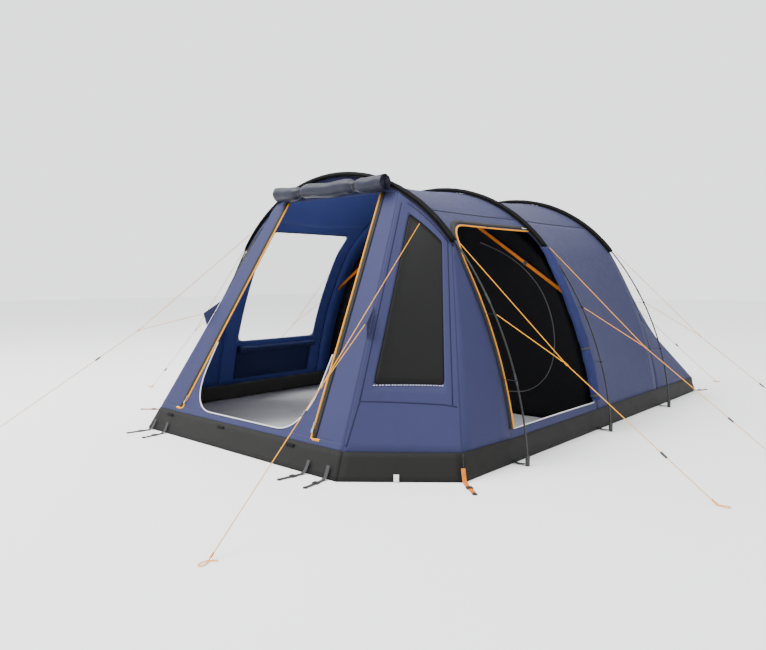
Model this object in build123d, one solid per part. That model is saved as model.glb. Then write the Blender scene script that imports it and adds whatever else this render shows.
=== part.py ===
"""Three-hoop family tunnel tent, pitched and guyed out, with its front and side doors rolled open.

Frame: X runs across the tent, the front door faces -Y and Z is up from the ground. The origin is on
the ground under the middle hoop, half way between the front and the rear peg straps. Sizes are in mm.
"""
from build123d import *
import math
import os

os.makedirs("parts", exist_ok=True)

# ---------------------------------------------------------------- driving dimensions
hoop_half_spread = 1650.0      # centre of a pole at the ground, from the tent's middle
hoop_height = 1898.0           # centre of a pole at the ridge
crown_radius = 1400.0          # the pole's bend over the roof
crown_angle = 46.6             # degrees each side of upright that the crown bend takes
living_bay = 1219.0            # front hoop to middle hoop
bedroom_bay = 1238.0           # middle hoop to rear hoop
porch_depth = 991.0            # front hoop to the front edge on the ground
rear_run = 1019.0              # rear hoop to the rear edge on the ground
corner_back = 464.0            # how far the front corners are cut back
front_half = 1010.0            # half the front edge
base_half = 1550.0             # half the width of the base

pole_diameter = 11.0
pole_sections_crown = 4
pole_sections_side = 3
ferrule_length = 70.0
ferrule_wall = 1.0
fit_gap = 0.3                  # between pieces that move or slip over each other

sleeve_radius = 18.0
sleeve_bore = 8.5
sleeve_end_height = 1360.0     # where the sleeves stop and the bare pole begins
clip_heights = (910.0, 510.0)  # straps that hold the fly to the bare pole
wall_bulge = 92.0              # how far the clips draw the wall out from a straight line

cloth = 3.0                    # closed thickness given to every fabric panel
seam_gap = 3.0                 # between neighbouring panels
hoop_seam = 5.0                # each side of a hoop's plane
band_height = 150.0            # dark mud band round the base
roof_seam_height = 1600.0      # where the roof panels meet the wall panels
rear_seam_height = 745.0       # top of the rear corner panels

front_header_height = 1716.0   # front panel's top corners, on the front hoop
door_zip_foot = (698.0, 182.0)     # x and height of a front zip's lower end
door_zip_head = (486.0, 1722.0)    # x and height of its upper end
door_sill_height = 190.0
door_corner_cut = (420.0, 390.0)   # x and height where the door's lower corner begins and ends
side_door_front = 40.0         # from the front hoop to the side door's edge
side_door_back = 34.0          # from the middle hoop to its other edge
side_sill_height = 205.0
side_door_height = 1505.0
side_door_corner = 200.0       # cut of the side door's upper front corner
window_low = 550.0             # the left wall's clear window
window_high = 1520.0
window_front = 150.0           # from the front hoop
window_back = 150.0            # from the middle hoop
corner_window_low = (0.15, 0.86, 0.33)    # across (two) and up, as shares of the corner panel
corner_window_high = (0.21, 0.85, 0.94)

zip_width = 12.0
zip_thickness = 3.0
flap_width = 34.0
slider_size = (16.0, 26.0, 8.0)    # across, along and off the zip
pull_size = (8.0, 42.0, 2.5)

bedroom_inset = 95.0           # inner tent inside the fly
bedroom_start = 60.0           # behind the middle hoop
bedroom_end = 150.0            # short of the rear edge
bedroom_zip_low = 185.0

roll_radius = 45.0             # rolled front door
roll_half_length = 585.0
side_roll_radius = 42.0

strap_width = 25.0
strap_thickness = 2.0
strap_reach = 187.0            # front peg straps ahead of the front edge
corner_strap_reach = 210.0
rear_strap_reach = 140.0
ring_bore_radius = 8.0
ring_radius = 14.0
ring_height = 5.0

cord_diameter = 4.5
cord_clearance = 0.45          # round a guyline in its runner
runner_size = (13.0, 42.0, 9.0)    # across, along and off the line

# ---------------------------------------------------------------- places worked out from them
front_hoop_y = -living_bay
middle_hoop_y = 0.0
rear_hoop_y = bedroom_bay
hoops = {"front": front_hoop_y, "middle": middle_hoop_y, "rear": rear_hoop_y}
front_y = front_hoop_y - porch_depth
corner_y = front_y + corner_back
rear_y = rear_hoop_y + rear_run
fly_inset = sleeve_radius + 1.0
pole_radius = pole_diameter / 2
cord_radius = cord_diameter / 2
cord_bore_radius = cord_radius + cord_clearance

crown_turn = math.radians(crown_angle)
crown_centre_z = hoop_height - crown_radius
tangent_x = crown_radius * math.sin(crown_turn)
tangent_z = crown_centre_z + crown_radius * math.cos(crown_turn)
to_foot = (hoop_half_spread - tangent_x, -tangent_z)
side_radius = -(to_foot[0] ** 2 + to_foot[1] ** 2) / (
    2 * (to_foot[0] * math.sin(crown_turn) + to_foot[1] * math.cos(crown_turn)))
side_centre = (tangent_x - side_radius * math.sin(crown_turn),
               tangent_z - side_radius * math.cos(crown_turn))


def hoop_point(angle, inset=0.0):
    """(x, z) on the hoop, or inside it by inset, at an angle in degrees from upright."""
    side = math.copysign(1.0, angle)
    t = math.radians(abs(angle))
    if abs(angle) <= crown_angle:
        radius, centre = crown_radius - inset, (0.0, crown_centre_z)
    else:
        radius, centre = side_radius - inset, side_centre
    return side * (centre[0] + radius * math.sin(t)), centre[1] + radius * math.cos(t)


def hoop_angle(z, inset=0.0):
    """Angle in degrees at which the hoop, or a line inside it, is at height z."""
    turn = (z - crown_centre_z) / (crown_radius - inset)
    if turn >= math.cos(crown_turn):
        return math.degrees(math.acos(min(1.0, turn)))
    return math.degrees(math.acos((z - side_centre[1]) / (side_radius - inset)))


def wall_x(z, inset=0.0):
    """Half width of the fly at height z: the hoop's line above the sleeve end, a bulged wall below."""
    if z >= sleeve_end_height:
        return hoop_point(hoop_angle(z, fly_inset + inset), fly_inset + inset)[0]
    top = hoop_point(hoop_angle(sleeve_end_height, fly_inset), fly_inset)[0]
    share = z / sleeve_end_height
    return base_half + (top - base_half) * share + wall_bulge * 4 * share * (1 - share) - inset


def crown_angles(half_angle, steps):
    """Evenly spaced angles from the right of the crown over to the left."""
    return [half_angle - 2 * half_angle * i / steps for i in range(steps + 1)]


# ---------------------------------------------------------------- solids from points
def facet(*corners):
    """Flat face through three points."""
    return Face(Wire.make_polygon([Vector(*c) for c in corners], close=True))


def sheet(grid, thickness=cloth, centre_z=600.0, skip=(), cut=(), normal=None):
    """Closed thin solid on a grid of points, thickened towards the tent's middle line.

    skip lists cells left open; cut lists cells of which only the half by one corner stays, each as
    (row, column, corner) with corner (0 or 1, 0 or 1). normal sets the outer side of a flat panel.
    """
    rows, columns = len(grid), len(grid[0])
    points = {(i, j): Vector(*grid[i][j]) for i in range(rows) for j in range(columns)}
    triangles = []
    corners_of = {(i, j): ((i, j), (i, j + 1), (i + 1, j + 1), (i + 1, j))
                  for i in range(rows - 1) for j in range(columns - 1)}
    trimmed = {(i, j): (i + di, j + dj) for i, j, (di, dj) in cut}
    for cell, ring in corners_of.items():
        if cell in skip:
            continue
        if cell in trimmed:
            k = ring.index(trimmed[cell])
            triangles.append((ring[k - 1], ring[k], ring[(k + 1) % 4]))
        else:
            triangles += [(ring[0], ring[1], ring[2]), (ring[0], ring[2], ring[3])]
    push = {}
    for t in triangles:
        n = (points[t[1]] - points[t[0]]).cross(points[t[2]] - points[t[0]])
        for key in t:
            push[key] = push.get(key, Vector(0, 0, 0)) + n
    inner = {}
    for key, n in push.items():
        n = n.normalized()
        p = points[key]
        aim = -Vector(*normal) if normal else Vector(0, p.Y, centre_z) - p
        inner[key] = p + n * (thickness if n.dot(aim) > 0 else -thickness)
    edges = {}
    for t in triangles:
        for e in ((t[0], t[1]), (t[1], t[2]), (t[2], t[0])):
            edges[frozenset(e)] = edges.get(frozenset(e), 0) + 1
    faces = [facet(*(points[k] for k in t)) for t in triangles]
    faces += [facet(*(inner[k] for k in t)) for t in triangles]
    for e, count in edges.items():
        if count == 1:
            p, q = tuple(e)
            faces.append(facet(points[p], points[q], inner[q]))
            faces.append(facet(points[p], inner[q], inner[p]))
    solid = Solid(Shell(faces))
    return solid if solid.volume > 0 else Solid(Shell([-f for f in faces]))


def ribbon(points, width, thickness, normal):
    """Flat strap or tape along a line of points, its back on the line and its face along normal."""
    points = [Vector(*p) for p in points]
    up = Vector(*normal).normalized()
    grid = []
    for i, p in enumerate(points):
        along = points[min(i + 1, len(points) - 1)] - points[max(i - 1, 0)]
        across = along.cross(up).normalized() * (width / 2)
        face = p + up * thickness
        grid.append([face - across, face + across])
    return sheet([[tuple(v) for v in row] for row in grid], thickness, normal=tuple(up))


def rod(start, end, radius, bore=0.0):
    """Round bar, or tube, from one point to another."""
    start, end = Vector(*start), Vector(*end)
    plane = Plane(origin=start, z_dir=(end - start).normalized())
    length = (end - start).length
    bar = Solid.make_cylinder(radius, length, plane)
    return bar - Solid.make_cylinder(bore, length, plane) if bore else bar


def arc_tube(first, last, y, radius, bore=0.0, inset=0.0):
    """Tube along the hoop between two angles, which lie in one of its arcs."""
    mid = (first + last) / 2
    ends = [hoop_point(t, inset) for t in (first, mid, last)]
    path = Edge.make_three_point_arc(*(Vector(x, y, z) for x, z in ends))
    plane = Plane(origin=path @ 0, z_dir=path % 0)
    outer = sweep(plane * Circle(radius), path=path)
    return outer - sweep(plane * Circle(bore), path=path) if bore else outer


def block(size, plane):
    """Box of three sizes centred on a plane's origin."""
    return plane * Box(*size)


def save(name, solids):
    """Write one node, whether it is one solid or a group of separate ones."""
    solids = solids if isinstance(solids, list) else [solids]
    parts = [s for item in solids for s in item.solids()]
    export_step(parts[0] if len(parts) == 1 else Compound(children=parts), f"parts/{name}.step")
    print(f"{name}: {len(parts)} solids, {sum(p.volume for p in parts) / 1e3:.1f} cm3")


def mirrored(solids):
    """The same solids and their twins on the left."""
    return solids + [s.mirror(Plane.YZ) for s in solids]


# ---------------------------------------------------------------- hoops, ferrules, sleeves
foot_angle = hoop_angle(30.0)
sleeve_angle = hoop_angle(sleeve_end_height)
side_step = (foot_angle - crown_angle) / pole_sections_side
crown_step = 2 * crown_angle / pole_sections_crown
pole_breaks = [foot_angle - side_step * i for i in range(pole_sections_side)]
pole_breaks += [crown_angle - crown_step * i for i in range(pole_sections_crown + 1)]
pole_breaks += [-crown_angle - side_step * (i + 1) for i in range(pole_sections_side)]
ferrule_radius = pole_radius + 0.1 + ferrule_wall
ferrules = []
for name, y in hoops.items():
    save(f"hoop_pole_{name}", [arc_tube(p, q, y, pole_radius) for p, q in zip(pole_breaks, pole_breaks[1:])])
    for t in pole_breaks[1:-1]:
        radius = crown_radius if abs(t) <= crown_angle else side_radius
        half = math.degrees(ferrule_length / 2 / radius)
        # the sleeve of metal stands wholly on the section below the joint, as it does on the real pole
        away = half * math.copysign(1.0, t)
        low, high = (t, t + 2 * away) if abs(t) > 1e-6 else (0.0, 2 * half)
        ferrules.append(arc_tube(low, high, y, ferrule_radius, pole_radius + 0.1))
save("pole_ferrules", ferrules)
for name, y in hoops.items():
    spans = [(sleeve_angle, crown_angle), (crown_angle, 0.0), (0.0, -crown_angle),
             (-crown_angle, -sleeve_angle)]
    save(f"pole_sleeve_{name}", [arc_tube(p, q, y, sleeve_radius, sleeve_bore) for p, q in spans])

# ---------------------------------------------------------------- pole feet and clips
foot_socket_radius = 14.0
foot_socket_top = 62.0
foot_x, foot_z = hoop_point(foot_angle)
lean = hoop_point(foot_angle - 1.0)
lean = Vector(lean[0] - foot_x, 0, lean[1] - foot_z).normalized()
feet = []
for y in hoops.values():
    foot_plane = Plane(origin=(foot_x, y, foot_z), z_dir=lean)
    socket = rod((foot_x, y, 0), (foot_x, y, foot_socket_top), foot_socket_radius)
    hollow = Solid.make_cylinder(pole_radius + 2 * fit_gap, foot_socket_top * 2, foot_plane)
    feet.append(socket - hollow)
save("pole_feet", mirrored(feet))

clip_ring_radius = 10.0
clip_ring_length = 14.0
clips = []
for y in hoops.values():
    for z in clip_heights:
        t = hoop_angle(z)
        x, _ = hoop_point(t)
        above, below = hoop_point(t - 0.2), hoop_point(t + 0.2)
        along = Vector(above[0] - below[0], 0, above[1] - below[1]).normalized()
        centre = Vector(x, y, z)
        ring = rod(centre - along * (clip_ring_length / 2), centre + along * (clip_ring_length / 2),
                   clip_ring_radius, ferrule_radius + fit_gap)
        reach = (wall_x(z) + 1.5, x - clip_ring_radius + 0.5)
        strap = Box(reach[1] - reach[0], strap_width / 2, strap_thickness)
        clips.append(ring + Pos((reach[0] + reach[1]) / 2, y, z) * strap)
save("pole_clips", mirrored(clips))

# ---------------------------------------------------------------- fly sheet
front_slope = (porch_depth - 30.0) / front_header_height
foot_share = band_height + 1.5
seam_y = front_hoop_y - hoop_seam
header_angle = hoop_angle(front_header_height, fly_inset)
top_angle = hoop_angle(sleeve_end_height, fly_inset)


def front_plane(x, z):
    """Point on the sloping front at an x and a height."""
    return (x, front_y + front_slope * z, z)


def front_edge(z):
    """Half width of the front at height z."""
    top = hoop_point(header_angle, fly_inset)[0]
    return front_half + (top - front_half) * z / front_header_height


def zip_x(z):
    """x of a front zip at height z."""
    share = (z - door_zip_foot[1]) / (door_zip_head[1] - door_zip_foot[1])
    return door_zip_foot[0] + (door_zip_head[0] - door_zip_foot[0]) * share


def corner_patch(u, v):
    """Point on the right front corner: u from the front edge to the side, v from the ground up."""
    low = Vector(front_half + (base_half - front_half) * u, front_y + corner_back * u, 0)
    angle = header_angle + (top_angle - header_angle) * u
    x, z = hoop_point(angle, fly_inset)
    return tuple(low + (Vector(x, seam_y, z) - low) * v)


def at_height(u, z):
    """Point of the corner patch at height z above u."""
    return corner_patch(u, z / corner_patch(u, 1)[2])


def flip(points):
    """The same points on the left."""
    return [[(-x, y, z) for x, y, z in row] for row in points]


door_top = door_zip_head[1]
inner = seam_gap / 2
front_rows = [foot_share, door_sill_height, door_corner_cut[1], 900.0, 1350.0, door_top]
front_grid = []
for z in front_rows:
    edge, opening = front_edge(z) - inner, zip_x(z) - zip_width
    xs = [edge, opening, min(door_corner_cut[0], opening - 20), 0.0]
    xs += [-x for x in reversed(xs[:-1])]
    front_grid.append([front_plane(x, z) for x in xs])
open_cells = [(i, j) for i in range(1, 5) for j in range(1, 5) if (i, j) not in ((1, 1), (1, 4))]
corners = [(1, 1, (0, 0)), (1, 4, (0, 1))]
header = []
for share in (0.965, 0.70, 0.37, 0.0, -0.37, -0.70, -0.965):
    x, z = hoop_point(header_angle * share, fly_inset)
    header.append((x, seam_y, z))
front_grid.append(header)
front_out = (0, -1, front_slope)
save("front_panel", sheet(front_grid, skip=open_cells, cut=corners, normal=front_out))

u1, u2, v1 = corner_window_low
u3, u4, v2 = corner_window_high
grid = [[at_height(u, foot_share) for u in (0.004, u1, u2, 0.996)],
        [corner_patch(u, v1) for u in (0.004, u1, u2, 0.996)],
        [corner_patch(u, v2) for u in (0.004, u3, u4, 0.996)],
        [corner_patch(u, 0.997) for u in (0.004, u3, u4, 0.996)]]
gusset_tops = [foot_share, 300.0, 510.0, 720.0, 910.0, 1130.0, 1290.0]
gusset = []
for z in gusset_tops:
    seam = at_height(1.0, z)
    gusset.append([(seam[0], seam[1] + seam_gap, z), (wall_x(z), seam_y, z)])
for side, name in ((1, "right"), (-1, "left")):
    panels = [grid, gusset] if side > 0 else [flip(grid), flip(gusset)]
    panels = [sheet(panels[0], skip=[(1, 1)]), sheet(panels[1])]
    save(f"corner_panel_{name}", panels)
pane = [[corner_patch(u1 + 0.01, v1 + 0.01), corner_patch(u2 - 0.01, v1 + 0.01)],
        [corner_patch(u3 + 0.01, v2 - 0.01), corner_patch(u4 - 0.01, v2 - 0.01)]]
save("corner_windows", [sheet(pane, cloth / 2), sheet(flip(pane), cloth / 2)])

roof_half = hoop_angle(roof_seam_height, fly_inset)
bays = {"living": (front_hoop_y + hoop_seam, middle_hoop_y - hoop_seam),
        "bedroom": (middle_hoop_y + hoop_seam, rear_hoop_y - hoop_seam)}


def roof(bay):
    """Roof panel of one bay, over the crown from seam to seam."""
    rows = [[(*hoop_point(t, fly_inset), y) for t in crown_angles(roof_half - 0.1, 12)]
            for y in bays[bay]]
    return sheet([[(x, y, z) for x, z, y in row] for row in rows])


def wall(ys, zs, skip=(), cut=(), side=1):
    """Side wall of one bay, right side unless side is -1."""
    return sheet([[(side * wall_x(z), y, z) for z in zs] for y in ys], skip=skip, cut=cut)


y1, y2 = bays["living"]
wall_heights = [foot_share, 340.0, 550.0, 790.0, 1030.0, 1200.0, 1360.0, 1450.0, 1520.0,
                roof_seam_height - seam_gap]
low, high = wall_heights.index(window_low), wall_heights.index(window_high)
save("roof_living", roof("living"))
window_ys = (front_hoop_y + window_front, middle_hoop_y - window_back)
save("wall_left", wall([y1, *window_ys, y2], wall_heights, side=-1,
                       skip=[(1, j) for j in range(low, high)]))
pane_heights = [window_low + 2, *wall_heights[low + 1:high], window_high - 2]
save("side_window", sheet([[(-wall_x(z, 0.5), y, z) for z in pane_heights]
                           for y in (window_ys[0] + 2, window_ys[1] - 2)], cloth / 2))
door_y1, door_y2 = front_hoop_y + side_door_front, middle_hoop_y - side_door_back
door_heights = [foot_share, side_sill_height, 355.0, 550.0, 790.0, 1030.0, 1200.0,
                side_door_height - side_door_corner, side_door_height, roof_seam_height - seam_gap]
save("wall_right", wall([y1, door_y1, door_y1 + side_door_corner, door_y2, y2], door_heights,
                        skip=[(1, j) for j in range(1, 7)] + [(2, j) for j in range(1, 8)],
                        cut=[(1, 7, (0, 1))]))
bed_ys = bays["bedroom"]
save("fly_bedroom", [roof("bedroom"), wall(bed_ys, wall_heights), wall(bed_ys, wall_heights, side=-1)])

# rear: a sloping panel from the rear hoop to the rear edge, and a panel each side of it
rear_seam_y = rear_hoop_y + hoop_seam
rear_heights = [rear_seam_height, 910.0, 1130.0, sleeve_end_height, 1490.0]
rear_arch = [(wall_x(z), z) for z in rear_heights]
rear_arch += [hoop_point(t, fly_inset) for t in crown_angles(roof_half, 8)]
rear_arch += [(-x, z) for x, z in reversed(rear_arch[:len(rear_heights)])]


def rear_line(x, z):
    """Point of the rear edge's low upright strip at a height up to the band's top."""
    return (x, rear_y - 6.0 - rear_run / hoop_height * z, z)


def rear_panel():
    """Panel from the rear hoop down to the top of the mud band."""
    last = len(rear_arch) - 1
    rows = []
    for share in (0.0, 0.5, 1.0):
        row = []
        for k, (x, z) in enumerate(rear_arch):
            top = Vector(x, rear_seam_y, z)
            foot = Vector(*rear_line((base_half - 4) * (1 - 2 * k / last), foot_share))
            row.append(tuple(top + (foot - top) * share))
        rows.append(row)
    return rows


def rear_side(z):
    """The two ends of the rear corner panel at height z: on the hoop's line and on the corner."""
    low = Vector(*rear_line(base_half - 4, min(z, foot_share)))
    top = Vector(wall_x(rear_seam_height), rear_seam_y, rear_seam_height)
    share = max(0.0, (z - foot_share) / (rear_seam_height - foot_share))
    return [(wall_x(z), rear_seam_y, z), tuple(low + (top - low) * share)]


side_rows = [rear_side(z) for z in (foot_share, 340.0, 520.0, 690.0)]
rear_out = (0, 1, rear_run / hoop_height)
save("fly_rear", [sheet(rear_panel(), normal=rear_out), sheet(side_rows), sheet(flip(side_rows))])

# ---------------------------------------------------------------- mud band and groundsheet
band_top = band_height - 1.5
band = [[front_plane(x * (front_edge(z) - inner), z) for x in (1, -1)] for z in (0, band_top)]
chamfer = [[at_height(u, z) for u in (0.004, 0.996)] for z in (0, band_top)]
side = []
for z in (0, band_top):
    corner = at_height(1.0, z)
    side.append([(corner[0], corner[1] + seam_gap, z), (wall_x(z), seam_y, z),
                 (wall_x(z), rear_seam_y, z), rear_side(z)[1]])
rear_band = [[rear_line(x * (base_half - 8), z) for x in (1, -1)] for z in (0, band_top)]
band_sides = [sheet(g) for g in (chamfer, flip(chamfer), side, flip(side))]
save("mud_band", [sheet(band, normal=front_out), sheet(rear_band, normal=rear_out), *band_sides])

floor_gap = 7.0
outline = [(front_half - floor_gap, front_y + floor_gap),
           (base_half - floor_gap, corner_y + floor_gap), (base_half - floor_gap, rear_y - 14.0),
           (floor_gap - base_half, rear_y - 14.0), (floor_gap - base_half, corner_y + floor_gap),
           (floor_gap - front_half, front_y + floor_gap)]
save("groundsheet", extrude(make_face(Polyline(*outline, close=True)), cloth))

# ---------------------------------------------------------------- doors: zips, flaps, sliders, rolls
front_normal = Vector(*front_out).normalized()


def on_front(x, z, off):
    """Point standing off the front panel."""
    return Vector(*front_plane(x, z)) + front_normal * off


zip_line = [door_zip_foot, door_zip_head]
front_zips = [ribbon([on_front(x, z, 0.5) for x, z in zip_line], zip_width, zip_thickness, front_out)]
zip_height_off = 0.5
side_zip = [(door_y1, z) for z in door_heights[1:-2]]
turn = side_door_corner
side_zip += [(door_y1 + turn * (1 - math.cos(t)), side_door_height - turn * (1 - math.sin(t)))
             for t in (math.radians(30), math.radians(60))]
side_zip += [(door_y1 + turn, side_door_height), (door_y2, side_door_height)]


def wall_normal(z):
    """Outward normal of the right wall at height z."""
    dx = wall_x(z + 2) - wall_x(z - 2)
    return Vector(4, 0, -dx).normalized()


def wall_tape(line, width, off, thickness):
    """Tape laid along the right wall through (y, z) points."""
    grid = []
    for i, (y, z) in enumerate(line):
        p, n = Vector(wall_x(z), y, z), wall_normal(z)
        before, after = line[max(i - 1, 0)], line[min(i + 1, len(line) - 1)]
        along = Vector(wall_x(after[1]) - wall_x(before[1]), after[0] - before[0], after[1] - before[1])
        across = along.cross(n).normalized() * (width / 2)
        grid.append([tuple(p + n * (off + thickness) - across), tuple(p + n * (off + thickness) + across)])
    return sheet(grid, thickness)


save("door_zips", mirrored(front_zips) + [wall_tape(side_zip, zip_width, 3.5, zip_thickness)])
flap_step = (zip_width + flap_width) / 2 + 1.5
front_flap = ribbon([on_front(x + flap_step, z, 0.5) for x, z in zip_line], flap_width,
                    zip_thickness, front_out)
save("zip_flaps", mirrored([front_flap]))


def slider(at, along, normal):
    """Zip slider with its pull tab, standing clear of the zip's face."""
    plane = Plane(origin=at, x_dir=Vector(*along).cross(Vector(*normal)), z_dir=normal)
    wide, long, tall = slider_size
    body = plane * Pos(0, 0, tall / 2) * Box(wide, long, tall)
    tab = plane * Pos(0, long / 2 + pull_size[1] / 2 - 4, tall - pull_size[2] / 2) * Box(*pull_size)
    return body + tab


clear = zip_height_off + zip_thickness + fit_gap
zip_run = Vector(*front_plane(*door_zip_head)) - Vector(*front_plane(*door_zip_foot))
start = on_front(*door_zip_foot, clear) + zip_run.normalized() * 40
right_slider = slider(start, tuple(zip_run.normalized()), tuple(front_normal))
save("front_slider_right", right_slider)
save("front_slider_left", right_slider.mirror(Plane.YZ))
top_normal = wall_normal(side_door_height)
at = Vector(wall_x(side_door_height), door_y2 - 75.0, side_door_height) + top_normal * (clear + 3.0)
save("side_slider", slider(at, (0, 1, 0), tuple(top_normal)))
print("front slider axis", tuple(round(v, 5) for v in zip_run.normalized()), "length", zip_run.length)

roll_y = front_hoop_y - 82.0
roll_height = 1772.0
roll = rod((-roll_half_length, roll_y, roll_height), (roll_half_length, roll_y, roll_height), roll_radius)
save("front_door_roll", roll)
tie_half = 7.0
ties = [rod((x - tie_half, roll_y, roll_height), (x + tie_half, roll_y, roll_height),
            roll_radius + 4, roll_radius + 0.6) for x in (-288.0, 288.0)]
side_roll_y = middle_hoop_y - 92.0
side_roll_low, side_roll_high = 235.0, 1340.0


def side_roll_point(z):
    """Centre of the rolled side door at height z, standing off the outside of the wall."""
    return Vector(wall_x(z), side_roll_y, z) + wall_normal(z) * (side_roll_radius + 8)


def roll_arc(low, high):
    """Arc of the rolled side door between two heights."""
    return Edge.make_three_point_arc(*(side_roll_point(z) for z in (low, (low + high) / 2, high)))


path = roll_arc(side_roll_low, side_roll_high)
save("side_door_roll", sweep(Plane(origin=path @ 0, z_dir=path % 0) * Circle(side_roll_radius), path=path))
for share in (0.02, 0.33):
    tie = Plane(origin=path @ share, z_dir=path % share)
    ring = Solid.make_cylinder(side_roll_radius + 4, 2 * tie_half, tie)
    ties.append(ring - Solid.make_cylinder(side_roll_radius + 1.2, 2 * tie_half, tie))
save("door_toggles", ties)

# ---------------------------------------------------------------- bedroom
bed_y = middle_hoop_y + bedroom_start
bed_end = rear_y - bedroom_end
bed_floor = 12.0
crown_inset = fly_inset + bedroom_inset
bed_arch = [(wall_x(z, bedroom_inset), z) for z in (bed_floor, 400.0, 800.0, 1150.0)]
bed_arch += [hoop_point(t, crown_inset) for t in crown_angles(crown_angle, 10)]
bed_arch += [(-x, z) for x, z in reversed(bed_arch[:4])]
slope_share = 0.28
slope_y = rear_y - rear_run * slope_share - bedroom_end
rear_draw_in = 0.93
bed_rear_wall = 120.0
canopy = [[(x, bed_y + 2 * cloth, z) for x, z in bed_arch],
          [(x, rear_hoop_y, z) for x, z in bed_arch],
          [(x * rear_draw_in, slope_y, bed_floor + (z - bed_floor) * slope_share) for x, z in bed_arch],
          [(x * rear_draw_in, bed_end, bed_floor) for x, z in bed_arch]]
roof_from, roof_to = 4, len(bed_arch) - 5
canopy_walls = [[row[:roof_from + 1] for row in canopy[:3]], [row[roof_to:] for row in canopy[:3]]]
canopy_roof = [row[roof_from:roof_to + 1] for row in canopy[:3]]
back = [(x, z) for x, y, z in canopy[2]]
rear_wall = [[canopy[3][0], canopy[3][-1]],
             [(x, bed_end, bed_rear_wall) for x in (back[0][0], back[-1][0])]]
save("bedroom_canopy", [sheet(g) for g in canopy_walls]
     + [sheet(canopy_roof, centre_z=0.0), sheet(rear_wall, normal=rear_out)])
front_face = make_face(Plane.XZ * Polyline(*bed_arch, close=True))
save("bedroom_front", Pos(0, bed_y + cloth, 0) * extrude(front_face, cloth))
bed_outline = [(wall_x(0) - bedroom_inset, bed_y + 2 * cloth), (wall_x(0) - bedroom_inset, bed_end - 8)]
bed_outline += [(-x, y) for x, y in reversed(bed_outline)]
save("bedroom_floor", Pos(0, 0, cloth + 1) * extrude(make_face(Polyline(*bed_outline, close=True)), cloth))

bed_zip = [(-330.0, bedroom_zip_low), (250.0, bedroom_zip_low), (810.0, bedroom_zip_low)]
bed_zip += [(960.0, 225.0), (1075.0, 320.0), (1140.0, 450.0), (1160.0, 620.0), (1130.0, 820.0),
            (1040.0, 1030.0), (894.0, 1194.0), (700.0, 1330.0), (450.0, 1430.0)]
zip_face_y = bed_y - 0.5
bed_zip_line = [(x, zip_face_y, z) for x, z in bed_zip]
save("bedroom_zip", ribbon(bed_zip_line, zip_width, zip_thickness / 2, (0, -1, 0)))
bed_slider_x = 700.0
at = (bed_slider_x, zip_face_y - zip_thickness / 2 - fit_gap, bedroom_zip_low)
save("bedroom_slider", slider(at, (1, 0, 0), (0, -1, 0)))

blind_z = 470.0
blind_radius = 32.0
blind_x = -(wall_x(blind_z) - cloth - blind_radius - 12)
save("window_blind", rod((blind_x, window_ys[0], blind_z), (blind_x, window_ys[1], blind_z), blind_radius))

# ---------------------------------------------------------------- straps, buckles, rings
lock_rim = 11.0                # frame's width over the strap's
lock_size = (strap_width + lock_rim, 30.0, 8.0)
strap_lift = 3.2               # a peg strap's underside above the ground
locks, rings, orange, grey = [], [], [], []


def lock(centre, along, normal):
    """Ladder-lock buckle: a frame round a strap."""
    plane = Plane(origin=centre, x_dir=Vector(*along).cross(Vector(*normal)), z_dir=normal)
    hole = Box(strap_width + 1, lock_size[1] + 2, strap_thickness + 1.2)
    return plane * (Box(*lock_size) - hole)


def peg_strap(root, tip):
    """Strap on the ground from the base to its peg ring, the ring, and the buckle on the strap."""
    root, tip = Vector(*root), Vector(*tip)
    along = (tip - root).normalized()
    end = tip - along * (ring_radius + 0.5)
    back = Vector(0, 0, strap_lift)
    band = ribbon([root + back, end + back], strap_width, strap_thickness, (0, 0, 1))
    ring = rod(tip, tip + Vector(0, 0, ring_height), ring_radius, ring_bore_radius)
    middle = root + (end - root) * 0.55 + Vector(0, 0, strap_lift + strap_thickness / 2)
    return band, ring, middle, along


front_pegs = [((935.0, front_y - 2, 0), (964.0, front_y - strap_reach, 0)),
              ((765.0, front_y - 2, 0), (746.0, front_y - strap_reach, 0))]
corner_pegs = [((base_half + 1.5, corner_y - 1.5, 0),
                (base_half + corner_strap_reach * 0.77, corner_y - corner_strap_reach * 0.64, 0)),
               ((base_half - 10, rear_y + 4, 0),
                (base_half + 60.0, rear_y + rear_strap_reach + 47 - ring_radius, 0))]
for group, straps in ((front_pegs, grey), (corner_pegs, orange)):
    for root, tip in group:
        strap, ring, middle, along = peg_strap(root, tip)
        straps.append(strap)
        rings.append(ring)
        locks.append(lock(middle, tuple(along), (0, 0, 1)))
for y in hoops.values():
    grey.append(ribbon([(wall_x(0) + 3, y, 8.0), (foot_x - foot_socket_radius - 1, y, 8.0)],
                       strap_width, strap_thickness, (0, 0, 1)))
strap_y = middle_hoop_y + 28.0
strap_foot, strap_head = (1250.0, 1010.0), (45.0, 1832.0)
tension = [(x, strap_y, z) for x, z in (strap_foot, strap_head)]
orange.append(ribbon(tension, strap_width, strap_thickness, (0, -1, 0)))
share = 0.29
lock_at = [strap_foot[k] + (strap_head[k] - strap_foot[k]) * share for k in (0, 1)]
run = (strap_head[0] - strap_foot[0], 0, strap_head[1] - strap_foot[1])
locks.append(lock((lock_at[0], strap_y - strap_thickness / 2, lock_at[1]), run, (0, -1, 0)))
save("webbing_straps", mirrored(grey))
save("orange_straps", mirrored(orange))
save("ladder_locks", mirrored(locks))
save("peg_rings", mirrored(rings))

flap_low, flap_high = 760.0, 950.0
flap_tip = (862.0, -1805.0, 852.0)
flap = [[(front_edge(z) + 5, front_plane(0, z)[1] - 3, z) for z in (flap_low, flap_high)],
        [(flap_tip[0] + 4, flap_tip[1], flap_tip[2] - 6), (flap_tip[0] + 4, flap_tip[1], flap_tip[2] + 6)]]
save("guy_flaps", mirrored([sheet(flap, cloth / 2)]))

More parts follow.
